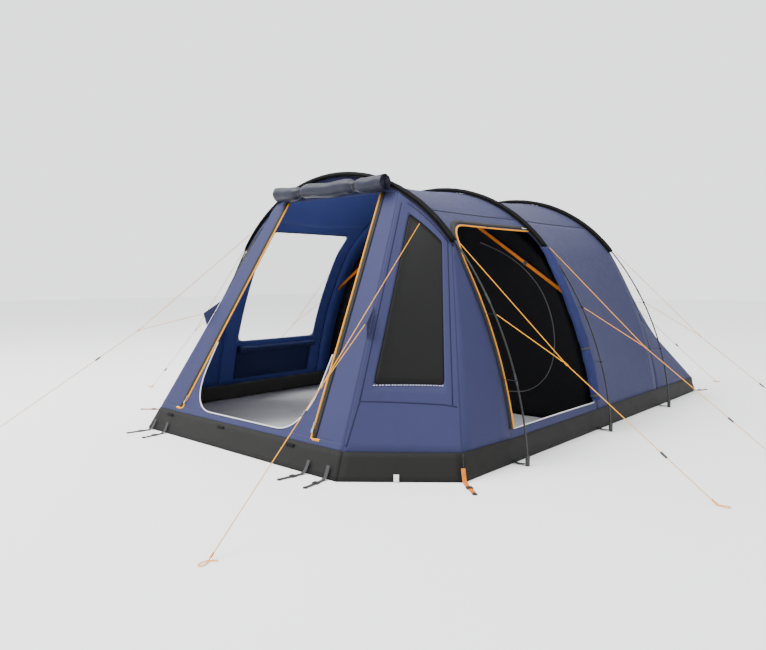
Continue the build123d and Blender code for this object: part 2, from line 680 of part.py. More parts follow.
# ---------------------------------------------------------------- guylines and their runners
ground = cord_radius + 1.5
join_bend = 40.0
join_gap = 22.0
hoop_join = (1885.0, 640.0)
hoop_peg = (2713.0, ground)
sleeve_x, sleeve_z = hoop_point(sleeve_angle, -sleeve_radius - 4)
clip_x = hoop_point(hoop_angle(clip_heights[0]))[0] + clip_ring_radius + 6
guys = {}
for number, (hoop, y) in enumerate(hoops.items(), 1):
    for side, word in ((1, "right"), (-1, "left")):
        guys[f"{hoop}_{word}"] = dict(
            main=[(side * sleeve_x, y, sleeve_z - 6), (side * hoop_join[0], y, hoop_join[1]),
                  (side * hoop_peg[0], y, hoop_peg[1])],
            branch=(side * clip_x, y, clip_heights[0] - 4), runner=(0.677, 0.69, 0.58)[number - 1])
guys["porch_right"] = dict(
    main=[(897.0, -1332.0, 1484.0), (1120.0, -2420.0, 575.0), (1378.0, -3284.0, ground)],
    branch=(868.0, -1822.0, 850.0), runner=0.193)
guys["porch_left"] = dict(
    main=[(-897.0, -1332.0, 1484.0), (-1085.0, -2228.0, 739.0), (-1378.0, -3284.0, ground)],
    branch=(-868.0, -1822.0, 850.0), runner=0.27)
guys["corner_right"] = dict(main=[(890.0, 1694.0, 1086.0), (1540.0, 3032.0, ground)], runner=0.61)
guys["corner_left"] = dict(main=[(-890.0, 1694.0, 1086.0), (-1540.0, 3032.0, ground)], runner=0.61)
for name, guy in guys.items():
    points = [Vector(*p) for p in guy["main"]]
    if len(points) == 3:
        path = FilletPolyline(*points, radius=[join_bend])
        line = sweep(Plane(origin=path @ 0, z_dir=path % 0) * Circle(cord_radius), path=path)
        start = Vector(*guy["branch"])
        end = points[1] - (points[1] - start).normalized() * join_gap
        save(f"guyline_{name}", [line, rod(start, end, cord_radius)])
        length, bend = path.length, points[1] - points[0]
        print(f"  line {length:.0f} long, bend radius {join_bend:.0f}, "
              f"branch {(end - start).length:.0f}, turn {bend.get_angle(points[2] - points[1]):.1f} degrees")
    else:
        save(f"guyline_{name}", rod(points[0], points[1], cord_radius))
        print(f"  line {(points[1] - points[0]).length:.0f} long, straight")
    along = (points[-1] - points[-2]).normalized()
    centre = points[-2] + (points[-1] - points[-2]) * guy["runner"]
    plane = Plane(origin=centre, x_dir=along.cross(Vector(0, 0, 1)), z_dir=along)
    body = plane * (Box(runner_size[0], runner_size[2], runner_size[1]) - Cylinder(cord_bore_radius, 60))
    save(f"runner_{name}", body)
    reach = (points[-1] - points[-2]).length
    print("  axis", tuple(round(v, 5) for v in along),
          f"above {reach * guy['runner']:.0f} below {reach * (1 - guy['runner']):.0f}")
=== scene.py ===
"""Finish of a three-hoop family tunnel tent: cloth, windows, zips, webbing, guylines and studio.

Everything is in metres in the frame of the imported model: X across the tent, the front door facing -Y,
Z up from the ground.
"""

import logging
import math
from dataclasses import dataclass
from enum import Enum
from typing import Callable, Iterable, Sequence

import bpy
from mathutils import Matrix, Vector, noise

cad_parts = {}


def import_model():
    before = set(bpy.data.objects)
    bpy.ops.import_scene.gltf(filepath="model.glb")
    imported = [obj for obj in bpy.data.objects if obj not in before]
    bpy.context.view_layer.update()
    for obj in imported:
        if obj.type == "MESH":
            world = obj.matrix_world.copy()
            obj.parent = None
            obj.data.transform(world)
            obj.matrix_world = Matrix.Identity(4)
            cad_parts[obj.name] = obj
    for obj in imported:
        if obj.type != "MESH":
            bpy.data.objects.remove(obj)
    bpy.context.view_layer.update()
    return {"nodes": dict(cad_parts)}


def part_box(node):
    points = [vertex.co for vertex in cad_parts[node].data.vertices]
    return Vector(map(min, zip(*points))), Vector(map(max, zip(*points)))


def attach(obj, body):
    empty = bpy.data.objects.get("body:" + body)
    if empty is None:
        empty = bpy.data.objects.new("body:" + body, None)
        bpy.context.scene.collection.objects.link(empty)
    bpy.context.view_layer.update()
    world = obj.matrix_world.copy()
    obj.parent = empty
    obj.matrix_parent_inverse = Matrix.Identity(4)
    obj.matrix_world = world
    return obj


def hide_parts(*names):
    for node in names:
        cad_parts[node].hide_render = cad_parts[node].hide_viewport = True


log = logging.getLogger("tent")
Point = tuple[float, float, float]
Pair = tuple[float, float]
Mesh = tuple[list[Point], list[tuple[int, ...]]]


# ------------------------------------------------------------------ shader maths
class Value:
    """A number socket that takes part in Python expressions."""

    def __init__(self, nodes: "Nodes", socket: bpy.types.NodeSocket) -> None:
        """Keep the node tree it belongs to and the socket."""
        self.nodes, self.socket = nodes, socket

    def _math(self, operation: str, a: object, b: object) -> "Value":
        """Add a Math node on two values.

        Args:
            operation: The Math node's operation.
            a: First input, a Value or a number.
            b: Second input, a Value or a number.

        Returns:
            The node's output as a Value.
        """
        return self.nodes.node("ShaderNodeMath", {"operation": operation}, {0: a, 1: b})

    def __add__(self, other: object) -> "Value":
        """Sum."""
        return self._math("ADD", self, other)

    __radd__ = __add__

    def __mul__(self, other: object) -> "Value":
        """Product."""
        return self._math("MULTIPLY", self, other)

    __rmul__ = __mul__

    def __sub__(self, other: object) -> "Value":
        """Difference."""
        return self._math("SUBTRACT", self, other)

    def __rsub__(self, other: object) -> "Value":
        """Difference from a number."""
        return self._math("SUBTRACT", other, self)


class Nodes:
    """A node tree and the tools to write its nodes."""

    def __init__(self, tree: bpy.types.NodeTree) -> None:
        """Keep the tree."""
        self.tree = tree

    def node(self, kind: str, settings: dict, inputs: dict, output: int | str = 0) -> Value:
        """Add any node.

        Args:
            kind: The node's type name.
            settings: Properties set before the inputs.
            inputs: Values or links by socket name or number.
            output: Which output to give back.

        Returns:
            The chosen output as a Value.
        """
        made = self.tree.nodes.new(kind)
        for key, value in settings.items():
            setattr(made, key, value)
        for key, value in inputs.items():
            self.feed(made.inputs[key], value)
        return Value(self, made.outputs[output])

    def feed(self, socket: bpy.types.NodeSocket, value: object) -> None:
        """Link a Value to a socket, or set a constant on it."""
        if isinstance(value, Value):
            self.tree.links.new(value.socket, socket)
        else:
            socket.default_value = value

    def mix(self, share: Value, a: Sequence[float], b: Sequence[float]) -> Value:
        """Colour between two colours."""
        return self.node("ShaderNodeMix", {"data_type": "RGBA"},
                         {"Factor": share, 6: (*a, 1.0), 7: (*b, 1.0)}, 2)


class Paint(Nodes):
    """One procedural material."""

    def __init__(self, name: str) -> None:
        """Start an empty node material."""
        self.material = bpy.data.materials.new(name)
        self.material.use_nodes = True
        super().__init__(self.material.node_tree)
        self.shader = self.tree.nodes["Principled BSDF"]

    def coordinates(self) -> Value:
        """Object coordinates."""
        return self.node("ShaderNodeTexCoord", {}, {}, "Object")

    def noise(self, scale: float, detail: float = 3.0, where: Value | None = None) -> Value:
        """Noise from 0 to 1 at a scale in cycles a metre."""
        return self.node("ShaderNodeTexNoise", {}, {"Vector": where or self.coordinates(),
                                                    "Scale": scale, "Detail": detail}, "Fac")

    def waves(self, scale: float, axis: str, where: Value | None = None) -> Value:
        """Parallel bands across an axis."""
        return self.node("ShaderNodeTexWave", {"bands_direction": axis},
                         {"Vector": where or self.coordinates(), "Scale": scale}, "Fac")

    def bump(self, height: Value, strength: float, distance: float) -> None:
        """Feed the shader's normal from a height."""
        made = self.node("ShaderNodeBump", {}, {"Height": height, "Strength": strength,
                                                "Distance": distance}, "Normal")
        self.feed(self.shader.inputs["Normal"], made)

    def set(self, **values: object) -> None:
        """Set shader inputs, written with underscores for spaces."""
        for key, value in values.items():
            self.feed(self.shader.inputs[key.replace("_", " ")], value)


def shade(colour: Sequence[float], factor: float) -> tuple[float, ...]:
    """Colour made lighter or darker."""
    return tuple(min(1.0, c * factor) for c in colour)


@dataclass(frozen=True)
class Cloth:
    """Woven coated cloth: two tones, a fine weave, soft creases and a dull sheen."""

    name: str
    colour: tuple[float, float, float]
    roughness: float = 0.62
    crease: float = 0.35
    weave: float = 520.0
    contrast: float = 0.16
    sheen: float = 0.02
    specular: float = 0.10

    def material(self) -> bpy.types.Material:
        """Build the material."""
        paint = Paint(self.name)
        broad, fine = paint.noise(1.7, 4.0), paint.noise(14.0, 5.0)
        tone = broad * 0.65 + fine * 0.35
        low, high = shade(self.colour, 1 - self.contrast), shade(self.colour, 1 + self.contrast)
        threads = paint.waves(self.weave, "Z") + paint.waves(self.weave * 0.9, "Y")
        paint.set(Base_Color=paint.mix(tone, low, high), Sheen_Weight=self.sheen,
                  Sheen_Roughness=0.5, Specular_IOR_Level=self.specular,
                  Roughness=self.roughness - 0.1 + fine * 0.2)
        height = broad * self.crease + fine * (0.25 * self.crease) + threads * 0.02
        paint.bump(height, 0.35, 0.02)
        return paint.material


@dataclass(frozen=True)
class Plastic:
    """Moulded plastic or painted fibreglass with faint grain."""

    name: str
    colour: tuple[float, float, float]
    roughness: float = 0.42
    metallic: float = 0.0

    def material(self) -> bpy.types.Material:
        """Build the material."""
        paint = Paint(self.name)
        grain = paint.noise(160.0, 4.0)
        paint.set(Base_Color=paint.mix(grain, shade(self.colour, 0.8), shade(self.colour, 1.2)),
                  Metallic=self.metallic, Roughness=self.roughness - 0.08 + grain * 0.16)
        paint.bump(grain, 0.15, 0.0006)
        return paint.material


@dataclass(frozen=True)
class Webbing:
    """Woven strap, cord or zip tape with a cross rib."""

    name: str
    colour: tuple[float, float, float]
    pitch: float = 300.0

    def material(self) -> bpy.types.Material:
        """Build the material."""
        paint = Paint(self.name)
        rib = paint.waves(self.pitch, "DIAGONAL")
        wear = paint.noise(40.0)
        paint.set(Base_Color=paint.mix(rib * 0.6 + wear * 0.4, shade(self.colour, 0.72),
                                       shade(self.colour, 1.15)),
                  Roughness=0.6 + wear * 0.2, Specular_IOR_Level=0.2)
        paint.bump(rib, 0.4, 0.0008)
        return paint.material


@dataclass(frozen=True)
class Film:
    """Window film, clear or tinted."""

    name: str
    colour: tuple[float, float, float]
    alpha: float
    roughness: float = 0.12
    specular: float = 0.15

    def material(self) -> bpy.types.Material:
        """Build the material."""
        paint = Paint(self.name)
        ripple = paint.noise(6.0, 2.0)
        paint.set(Base_Color=paint.mix(ripple, shade(self.colour, 0.9), shade(self.colour, 1.1)),
                  Roughness=self.roughness + ripple * 0.08, Alpha=self.alpha,
                  Specular_IOR_Level=self.specular)
        paint.bump(ripple, 0.1, 0.01)
        return paint.material


class Finish(Enum):
    """Every finish on the tent."""

    FLY = Cloth("fly_cloth", (0.031, 0.034, 0.088))
    # Inner side of the fly: a brighter, saturated blue painted in for daylight shining through the cloth
    # (painted glow).
    FLY_INSIDE_PAINTED_GLOW = Cloth("fly_inside_painted_glow", (0.050, 0.074, 0.270), roughness=0.7, sheen=0.0)
    SEAM = Cloth("seam_cloth", (0.014, 0.015, 0.040), crease=0.2)
    SLEEVE = Cloth("sleeve_cloth", (0.007, 0.0072, 0.0078), crease=0.8, sheen=0.0, specular=0.06)
    MUD = Cloth("mud_cloth", (0.014, 0.0135, 0.013), crease=0.5)
    TUB = Cloth("band_inside", (0.055, 0.055, 0.05), crease=0.5, sheen=0.0)
    FLOOR = Cloth("floor_cloth", (0.42, 0.42, 0.43), crease=0.9, contrast=0.2)
    FLAP = Cloth("flap_cloth", (0.018, 0.018, 0.016))
    INNER = Cloth("inner_cloth", (0.0045, 0.0045, 0.0055), sheen=0.0)
    # Dark navy cloth of the rolled blind, also used for the sheet of painted shadow below it.
    BLIND = Cloth("dark_blue_cloth", (0.018, 0.026, 0.085))
    ROLL = Cloth("rolled_cloth", (0.012, 0.014, 0.028), roughness=0.36, crease=1.2, specular=0.22)
    SIDE_ROLL = Cloth("side_roll_cloth", (0.020, 0.025, 0.090), crease=1.2)
    CLEAR = Film("clear_window", (0.93, 0.95, 0.97), 0.10)
    DARK = Film("dark_window", (0.004, 0.004, 0.004), 0.97, 0.55)
    ORANGE_ZIP = Webbing("orange_zip", (0.90, 0.36, 0.010), 700.0)
    GREY_ZIP = Webbing("grey_zip", (0.10, 0.10, 0.105), 700.0)
    # Orange darkened to how it looks in shadow: painted shade on the corner and tension straps.
    ORANGE = Webbing("orange_webbing", (0.62, 0.17, 0.012))
    GREY = Webbing("grey_webbing", (0.045, 0.045, 0.047))
    BLACK_WEB = Webbing("black_webbing", (0.022, 0.022, 0.024))
    LINE = Webbing("guyline_cord", (0.90, 0.38, 0.012), 900.0)
    PIPING = Plastic("piping", (0.62, 0.62, 0.60), 0.5)
    LABEL = Cloth("label_cloth", (0.8, 0.8, 0.79), contrast=0.03)
    POLE = Plastic("pole", (0.008, 0.008, 0.009), 0.3)
    PLASTIC = Plastic("black_plastic", (0.02, 0.02, 0.021), 0.45)
    RUNNER = Plastic("runner_plastic", (0.03, 0.03, 0.032), 0.4)
    METAL = Plastic("slider_metal", (0.42, 0.42, 0.43), 0.3, 0.9)
    FERRULE = Plastic("ferrule_metal", (0.06, 0.06, 0.065), 0.32, 0.8)


class Palette:
    """Materials made once and handed out by finish."""

    made: dict[Finish, bpy.types.Material] = {}

    @classmethod
    def get(cls, finish: Finish) -> bpy.types.Material:
        """Material of a finish."""
        if finish not in cls.made:
            cls.made[finish] = finish.value.material()
        return cls.made[finish]


# ------------------------------------------------------------------ mesh making
def piece(name: str, verts: Sequence[Point], faces: Sequence[Sequence[int]], finish: Finish,
          replaces: Iterable[str] = (), slot: str | None = None, body: str = "tent",
          thickness: float = 0.0, inside: Finish | None = None, smooth: bool = True,
          offset: float = -1.0) -> bpy.types.Object:
    """Make a mesh piece, dress it and set it riding.

    Args:
        name: The piece's name.
        verts: Its points.
        faces: Its faces.
        finish: Outer finish.
        replaces: CAD nodes it stands for.
        slot: Not used.
        body: The body that carries it.
        thickness: Closed thickness added inwards, if any.
        inside: Finish of the inner side, if it differs.
        smooth: Whether it is smooth shaded.
        offset: Which way the thickness grows.

    Returns:
        The object.
    """
    mesh = bpy.data.meshes.new(name)
    mesh.from_pydata([tuple(v) for v in verts], [], [tuple(f) for f in faces])
    mesh.update()
    mesh.polygons.foreach_set("use_smooth", [smooth] * len(mesh.polygons))
    made = bpy.data.objects.new(name, mesh)
    bpy.context.scene.collection.objects.link(made)
    mesh.materials.append(Palette.get(finish))
    if thickness:
        mesh.materials.append(Palette.get(inside or finish))
        shell = made.modifiers.new("shell", "SOLIDIFY")
        shell.thickness, shell.offset, shell.material_offset = thickness, offset, 1
    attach(made, body)
    if replaces:
        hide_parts(*replaces)
    slot or finish.value.name
    log.info("%s: %d faces", name, len(mesh.polygons))
    return made


def share_of(ends: Pair, share: float) -> float:
    """Value a share of the way between two ends."""
    return ends[0] + (ends[1] - ends[0]) * share


def quads(rows: int, columns: int) -> list[tuple[int, ...]]:
    """Faces over points written row by row."""
    wide = columns + 1
    return [(i * wide + j, i * wide + j + 1, (i + 1) * wide + j + 1, (i + 1) * wide + j)
            for i in range(rows) for j in range(columns)]


def grid(surface: Callable[[float, float], Point], rows: int, columns: int) -> Mesh:
    """Quads over a surface given for shares 0 to 1 both ways."""
    verts = [surface(i / rows, j / columns) for i in range(rows + 1) for j in range(columns + 1)]
    return verts, quads(rows, columns)


def ring(surface: Callable[[float, float], Point], outer: Sequence[Pair], hole: Sequence[Pair],
         steps: int = 5) -> Mesh:
    """Quads between an outer loop and a hole's loop with as many points, both on a surface."""
    verts, count = [], len(outer)
    for k in range(steps + 1):
        s = k / steps
        verts += [surface(a[0] + (b[0] - a[0]) * s, a[1] + (b[1] - a[1]) * s)
                  for a, b in zip(outer, hole)]
    faces = [(k * count + i, k * count + (i + 1) % count, (k + 1) * count + (i + 1) % count,
              (k + 1) * count + i) for k in range(steps) for i in range(count)]
    return verts, faces


def loop(corners: Sequence[Pair], per_side: int, radii: Sequence[float] = ()) -> list[Pair]:
    """Closed loop of evenly spread points through corners, each rounded by its radius."""
    points, total = [], len(corners)
    radii = list(radii) or [0.0] * total
    for k in range(total):
        a, b = Vector(corners[k]), Vector(corners[(k + 1) % total])
        before = Vector(corners[k - 1])
        ra, rb = radii[k], radii[(k + 1) % total]
        along, back = (b - a).normalized(), (before - a).normalized()
        for i in range(per_side):
            s = i / per_side
            p = a + (b - a) * s
            reach = (p - a).length
            if ra and reach < ra:
                t = 0.5 + 0.5 * reach / ra
                p = a + back * ra * (1 - t) ** 2 + along * ra * t ** 2
            end = (b - p).length
            if rb and i and end < rb:
                turn = (Vector(corners[(k + 2) % total]) - b).normalized()
                t = 0.5 - 0.5 * end / rb
                p = b - along * rb * (1 - t) ** 2 + turn * rb * t ** 2
            points.append((p.x, p.y))
    return points


def rectangle(across: Pair, up: Pair, per_side: int, radii: Sequence[float] = ()) -> list[Pair]:
    """Closed loop round a rectangle, from its low near corner."""
    (x1, x2), (y1, y2) = across, up
    return loop([(x1, y1), (x2, y1), (x2, y2), (x1, y2)], per_side, radii)


def tube(path: Sequence[Vector], radius: Callable[[float, float], float], around: int = 12) -> Mesh:
    """Closed tube along a path, its radius given along (0 to 1) and around (radians)."""
    verts, faces = [], []
    side = Vector((0, 0, 1))
    for i, p in enumerate(path):
        along = (path[min(i + 1, len(path) - 1)] - path[max(i - 1, 0)]).normalized()
        if abs(along.dot(side)) > 0.95:
            side = Vector((0, 1, 0))
        right = along.cross(side).normalized()
        up = right.cross(along)
        for k in range(around):
            t = 2 * math.pi * k / around
            verts.append(tuple(p + (right * math.cos(t) + up * math.sin(t))
                               * radius(i / (len(path) - 1), t)))
    for i in range(len(path) - 1):
        for k in range(around):
            a, b = i * around + k, i * around + (k + 1) % around
            faces.append((a, b, b + around, a + around))
    first, last = len(verts), len(verts) + 1
    verts += [tuple(path[0]), tuple(path[-1])]
    for k in range(around):
        faces.append((first, (k + 1) % around, k))
        base = (len(path) - 1) * around
        faces.append((last, base + k, base + (k + 1) % around))
    return verts, faces


def rod(path: Sequence[Vector], radius: float, around: int = 8) -> Mesh:
    """Closed tube of one radius."""
    return tube(path, lambda share, t: radius, around)


def between(a: Vector, b: Vector, steps: int) -> list[Vector]:
    """Evenly spaced points from a to b."""
    return [a.lerp(b, i / steps) for i in range(steps + 1)]


def tape(points: Sequence[Vector], width: float, normals: Sequence[Vector], lift: float = 0.0) -> Mesh:
    """Flat strip along points, facing the normals, crowned a little across."""
    verts, columns = [], 4
    for i, p in enumerate(points):
        along = points[min(i + 1, len(points) - 1)] - points[max(i - 1, 0)]
        across = along.cross(normals[i]).normalized()
        for k in range(columns + 1):
            s = 2 * k / columns - 1
            verts.append(tuple(p + across * width / 2 * s + normals[i].normalized() * lift * (1 - s * s)))
    return verts, quads(len(points) - 1, columns)


def zipper(line: Sequence[Vector], normals: Sequence[Vector], width: float, lift: float, chain: float,
           proud: float) -> Mesh:
    """Zip tape along a line, its chain of teeth standing proud."""
    teeth = rod([p + n * proud for p, n in zip(line, normals)], chain, 6)
    return join([facing(tape(line, width, normals, lift), tuple(normals[0])), teeth])


def collar(centre: Vector, a: Vector, b: Vector, radius: float, width: float, steps: int) -> Mesh:
    """Strip wound once round a centre, in the plane of two directions."""
    path = [centre + (a * math.cos(t) + b * math.sin(t)) * radius
            for t in (2 * math.pi * i / steps for i in range(steps + 1))]
    return tape(path, width, [p - centre for p in path])


def join(parts: Sequence[Mesh]) -> Mesh:
    """Several lots of points and faces as one."""
    verts, faces = [], []
    for part_verts, part_faces in parts:
        start = len(verts)
        verts += part_verts
        faces += [tuple(start + i for i in f) for f in part_faces]
    return verts, faces


def mirror(part: Mesh) -> Mesh:
    """The same points and faces on the left."""
    return [(-x, y, z) for x, y, z in part[0]], [tuple(reversed(f)) for f in part[1]]


def area_of(part: Mesh) -> float:
    """Area of the faces."""
    total = 0.0
    for f in part[1]:
        a, b, c = (Vector(part[0][i]) for i in f[:3])
        total += (b - a).cross(c - a).length / 2
        if len(f) == 4:
            d = Vector(part[0][f[3]])
            total += (c - a).cross(d - a).length / 2
    return total


def ripple(x: float, y: float, z: float, scale: float) -> float:
    """Smooth seeded unevenness from -1 to 1."""
    return noise.noise(Vector((x, y, z)) * scale)


# ------------------------------------------------------------------ the tent's shape
@dataclass
class Shape:
    """Lines of the pitched tent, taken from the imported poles, band and sleeves."""

    crown: float = 1.400
    turn: float = 46.6
    sleeve: float = 0.018
    bulge: float = 0.092
    sleeve_end: float = 1.360
    band: float = 0.150
    seam: float = 1.600
    rear_seam: float = 0.745
    header: float = 1.716
    front_half: float = 1.010
    cut_back: float = 0.464
    corner_out: Point = (0.576, -0.679, 0.455)

    def __post_init__(self) -> None:
        """Read the hoops' places and the base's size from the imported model."""
        self.hoops = []
        for name in ("front", "middle", "rear"):
            low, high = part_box(f"hoop_pole_{name}")
            self.hoops.append((low[1] + high[1]) / 2)
        self.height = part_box("hoop_pole_front")[1][2] - 0.0055
        low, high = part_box("mud_band")
        self.base, self.front, self.rear = high[0], low[1], high[1] + 0.006
        self.centre = self.height - self.crown
        t = math.radians(self.turn)
        x, z = self.crown * math.sin(t), self.centre + self.crown * math.cos(t)
        foot = (self.base + 0.100 - x, -z)
        self.side = -(foot[0] ** 2 + foot[1] ** 2) / (2 * (foot[0] * math.sin(t) + foot[1] * math.cos(t)))
        self.side_at = (x - self.side * math.sin(t), z - self.side * math.cos(t))
        self.inset = self.sleeve + 0.001
        self.slope = (self.hoops[0] - 0.030 - self.front) / self.header
        self.head_angle = self.angle(self.header, self.inset)
        self.end_angle = self.angle(self.sleeve_end, self.inset)
        self.rear_slope = (self.rear - self.hoops[2]) / self.height
        self.living = (self.hoops[0] - 0.002, self.hoops[1] + 0.001)
        self.bedroom = (self.hoops[1] - 0.001, self.hoops[2] + 0.002)
        self.wall_z = (self.band - 0.008, self.seam + 0.004)

    def arc(self, angle: float, inset: float = 0.0) -> Pair:
        """Point (x, z) of the hoop at an angle from upright, or inside it by inset."""
        t = math.radians(abs(angle))
        if abs(angle) <= self.turn:
            x, z = (self.crown - inset) * math.sin(t), self.centre + (self.crown - inset) * math.cos(t)
        else:
            x = self.side_at[0] + (self.side - inset) * math.sin(t)
            z = self.side_at[1] + (self.side - inset) * math.cos(t)
        return math.copysign(x, angle), z

    def angle(self, z: float, inset: float = 0.0) -> float:
        """Angle at which the hoop, or a line inside it, is at height z."""
        share = (z - self.centre) / (self.crown - inset)
        if share >= math.cos(math.radians(self.turn)):
            return math.degrees(math.acos(min(1.0, share)))
        return math.degrees(math.acos((z - self.side_at[1]) / (self.side - inset)))

    def half(self, z: float, inset: float = 0.0) -> float:
        """Half width of the fly at a height."""
        if z >= self.sleeve_end:
            return self.arc(self.angle(z, self.inset + inset), self.inset + inset)[0]
        top = self.arc(self.end_angle, self.inset)[0]
        s = z / self.sleeve_end
        return self.base + (top - self.base) * s + self.bulge * 4 * s * (1 - s) - inset

    def wall(self, y: float, z: float, bay: Pair, side: int = 1, inset: float = 0.0) -> Point:
        """Point of a side wall, drawn in between its hoops."""
        s = max(0.0, min(1.0, (y - bay[0]) / (bay[1] - bay[0])))
        low = min(1.0, max(0.0, (z - self.band) / 0.35))
        draw = 0.030 * math.sin(math.pi * s) * low
        crease = 0.004 * ripple(y, z * 0.4, side, 3.0) * low * math.sin(math.pi * s)
        return side * (self.half(z, inset) - draw + crease), y, z

    def roof(self, y: float, angle: float, bay: Pair) -> Point:
        """Point of a roof panel, sagging between its hoops."""
        s = (y - bay[0]) / (bay[1] - bay[0])
        x, z = self.arc(angle, self.inset + 0.030 * math.sin(math.pi * s))
        return x, y, z + 0.003 * ripple(x, y, 0, 3.0) * math.sin(math.pi * s)

    def face(self, x: float, z: float, off: float = 0.0) -> Point:
        """Point of the sloping front, off it outwards."""
        y = min(self.front + self.slope * z, self.hoops[0] - 0.005)
        n = Vector((0, -1, self.slope)).normalized() * off
        return x, y + n.y, z + n.z

    def edge(self, z: float) -> float:
        """Half width of the front at a height."""
        top = self.arc(self.head_angle, self.inset)[0]
        if z <= self.header:
            return self.front_half + (top - self.front_half) * z / self.header
        return self.arc(self.angle(min(z, self.height - self.inset - 1e-4), self.inset), self.inset)[0]

    def corner(self, u: float, v: float) -> Point:
        """Point of the right front corner panel, u across and v up."""
        low = Vector((self.front_half + (self.base - self.front_half) * u,
                      self.front + self.cut_back * u, 0))
        x, z = self.arc(self.head_angle + (self.end_angle - self.head_angle) * u, self.inset)
        top = Vector((x, self.hoops[0] - 0.030 + 0.025 * min(1.0, max(0.0, 4 * u)), z))
        p = low + (top - low) * v
        hollow = 0.016 * math.sin(math.pi * min(1, max(0, u))) * math.sin(math.pi * min(1, max(0, v)))
        return tuple(p - Vector(self.corner_out) * hollow)

    def corner_at(self, u: float, z: float) -> Point:
        """Corner panel's point at height z."""
        return self.corner(u, z / self.arc(self.head_angle + (self.end_angle - self.head_angle) * u,
                                           self.inset)[1])

    def rear_line(self, x: float, z: float) -> Point:
        """Point of the low strip across the rear."""
        return x, self.rear - 0.006 - self.rear_slope * z, z

    def arch(self, count: int, inset: float = 0.0) -> list[Pair]:
        """Hoop line of the fly from the rear seam's height on the right, over, to the left."""
        low = [self.rear_seam + (self.sleeve_end - self.rear_seam) * i / 6 for i in range(6)]
        right = [(self.half(z, inset), z) for z in low]
        over = [self.arc(self.end_angle * (1 - 2 * i / count), self.inset + inset)
                for i in range(count + 1)]
        return right + over + [(-x, z) for x, z in reversed(right)]


def facing(part: Mesh, towards: Point | None = None) -> Mesh:
    """Turn the faces so that they look away from the tent's middle, or along a direction."""
    total = 0.0
    for f in part[1]:
        a, b, c = (Vector(part[0][i]) for i in f[:3])
        n = (b - a).cross(c - a)
        out = Vector(towards) if towards else a - Vector((0, max(-0.9, min(1.0, a.y)), 0.6))
        total += n.dot(out)
    return part if total > 0 else (part[0], [tuple(reversed(f)) for f in part[1]])


@dataclass
class Maker:
    """Shared tools of every sub-assembly: the tent's shape and its cloth panels."""

    shape: Shape
    cloth: float = 0.0012
    piping_radius: float = 0.0045

    def panel(self, name: str, part: Mesh, finish: Finish, replaces: Iterable[str], flat: Pair,
              held: str = "stretched", inside: Finish | None = None, slot: str | None = None,
              trims: Sequence[bpy.types.Object] = (), towards: Point | None = None,
              rests: Sequence[object] = (), thickness: float | None = None) -> bpy.types.Object:
        """Make one cut panel of cloth.

        Its cloth area is logged, with a warning when it is more than the flat size holds. The stated area
        stops at the flat size's own. The bedroom walls and the left window have more cloth than that, so
        their flat sizes are too small.

        Args:
            name: Piece name.
            part: Points and faces.
            finish: Outer finish.
            replaces: CAD nodes it stands for.
            flat: Width and length of the cloth it is cut from.
            held: How it is held; not used.
            inside: Inner finish.
            slot: Not used.
            trims: Pieces sewn to it; not used.
            towards: Direction its outer side faces, or None for away from the middle.
            rests: What it rests on; not used.
            thickness: Closed thickness, or None for the usual.

        Returns:
            The object.
        """
        part = facing(part, towards)
        made = piece(name, *part, finish, replaces, slot, thickness=thickness or self.cloth, inside=inside)
        area = area_of(part)
        log.info("%s: cloth %.3f m2 cut from %.2f x %.2f", name, area, *flat)
        most = flat[0] * flat[1]
        if area > most:
            log.warning("%s: more cloth than its flat size holds", name)
        return made

    def fly(self, name: str, part: Mesh, node: str, flat: Pair, trims: Sequence[bpy.types.Object] = (),
            towards: Point | None = None) -> None:
        """Panel of the fly sheet, its inner side painted a brighter blue for daylight shining through the
        cloth.
        """
        self.panel(name, part, Finish.FLY, [node], flat, inside=Finish.FLY_INSIDE_PAINTED_GLOW, trims=trims,
                   towards=towards)

    def strap(self, name: str, lines: Sequence[Sequence[Point]], width: float, normals: Sequence[Point],
              finish: Finish, replaces: Iterable[str] = (), slot: str | None = None,
              thickness: float = 0.002, lift: float = 0.0) -> bpy.types.Object:
        """Straps or tapes along lines, each with its own face direction."""
        parts = []
        for line, normal in zip(lines, normals):
            points = [Vector(p) for p in line]
            part = tape(points, width, [Vector(normal)] * len(points), lift)
            parts.append(facing(part, normal))
        return piece(name, *join(parts), finish, replaces, slot, thickness=thickness)

    def seam_glint_dashes(self, name: str, line: Sequence[Vector], normal: Vector, dash: float = 0.010,
                 gap: float = 0.006, width: float = 0.0045) -> bpy.types.Object:
        """Row of raised pale dashes along a line: a painted highlight of light caught on a seam."""
        parts = []
        for a, b in zip(line, line[1:]):
            along, reach = (b - a).normalized(), (b - a).length
            for k in range(int(reach / (dash + gap))):
                start = a + along * k * (dash + gap)
                part = tape(between(start, start + along * dash, 2), width, [normal] * 3, width / 3)
                parts.append(facing(part, tuple(normal)))
        return piece(name, *join(parts), Finish.PIPING, slot="fly_cloth", thickness=0.0008)

    def cord_line(self, name: str, points: Sequence[Point], diameter: float, finish: Finish,
                  replaces: Iterable[str], slot: str) -> bpy.types.Object:
        """Smooth round cord on control points."""
        data = bpy.data.curves.new(name, "CURVE")
        data.dimensions, data.bevel_depth, data.bevel_resolution = "3D", diameter / 2, 3
        data.use_fill_caps = True
        spline = data.splines.new("NURBS")
        spline.points.add(len(points) - 1)
        for control, p in zip(spline.points, points):
            control.co = (*p, 1.0)
        spline.order_u, spline.use_endpoint_u, spline.resolution_u = 3, True, 12
        made = bpy.data.objects.new(name, data)
        bpy.context.scene.collection.objects.link(made)
        data.materials.append(Palette.get(finish))
        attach(made, "tent")
        if replaces:
            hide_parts(*replaces)
        return made


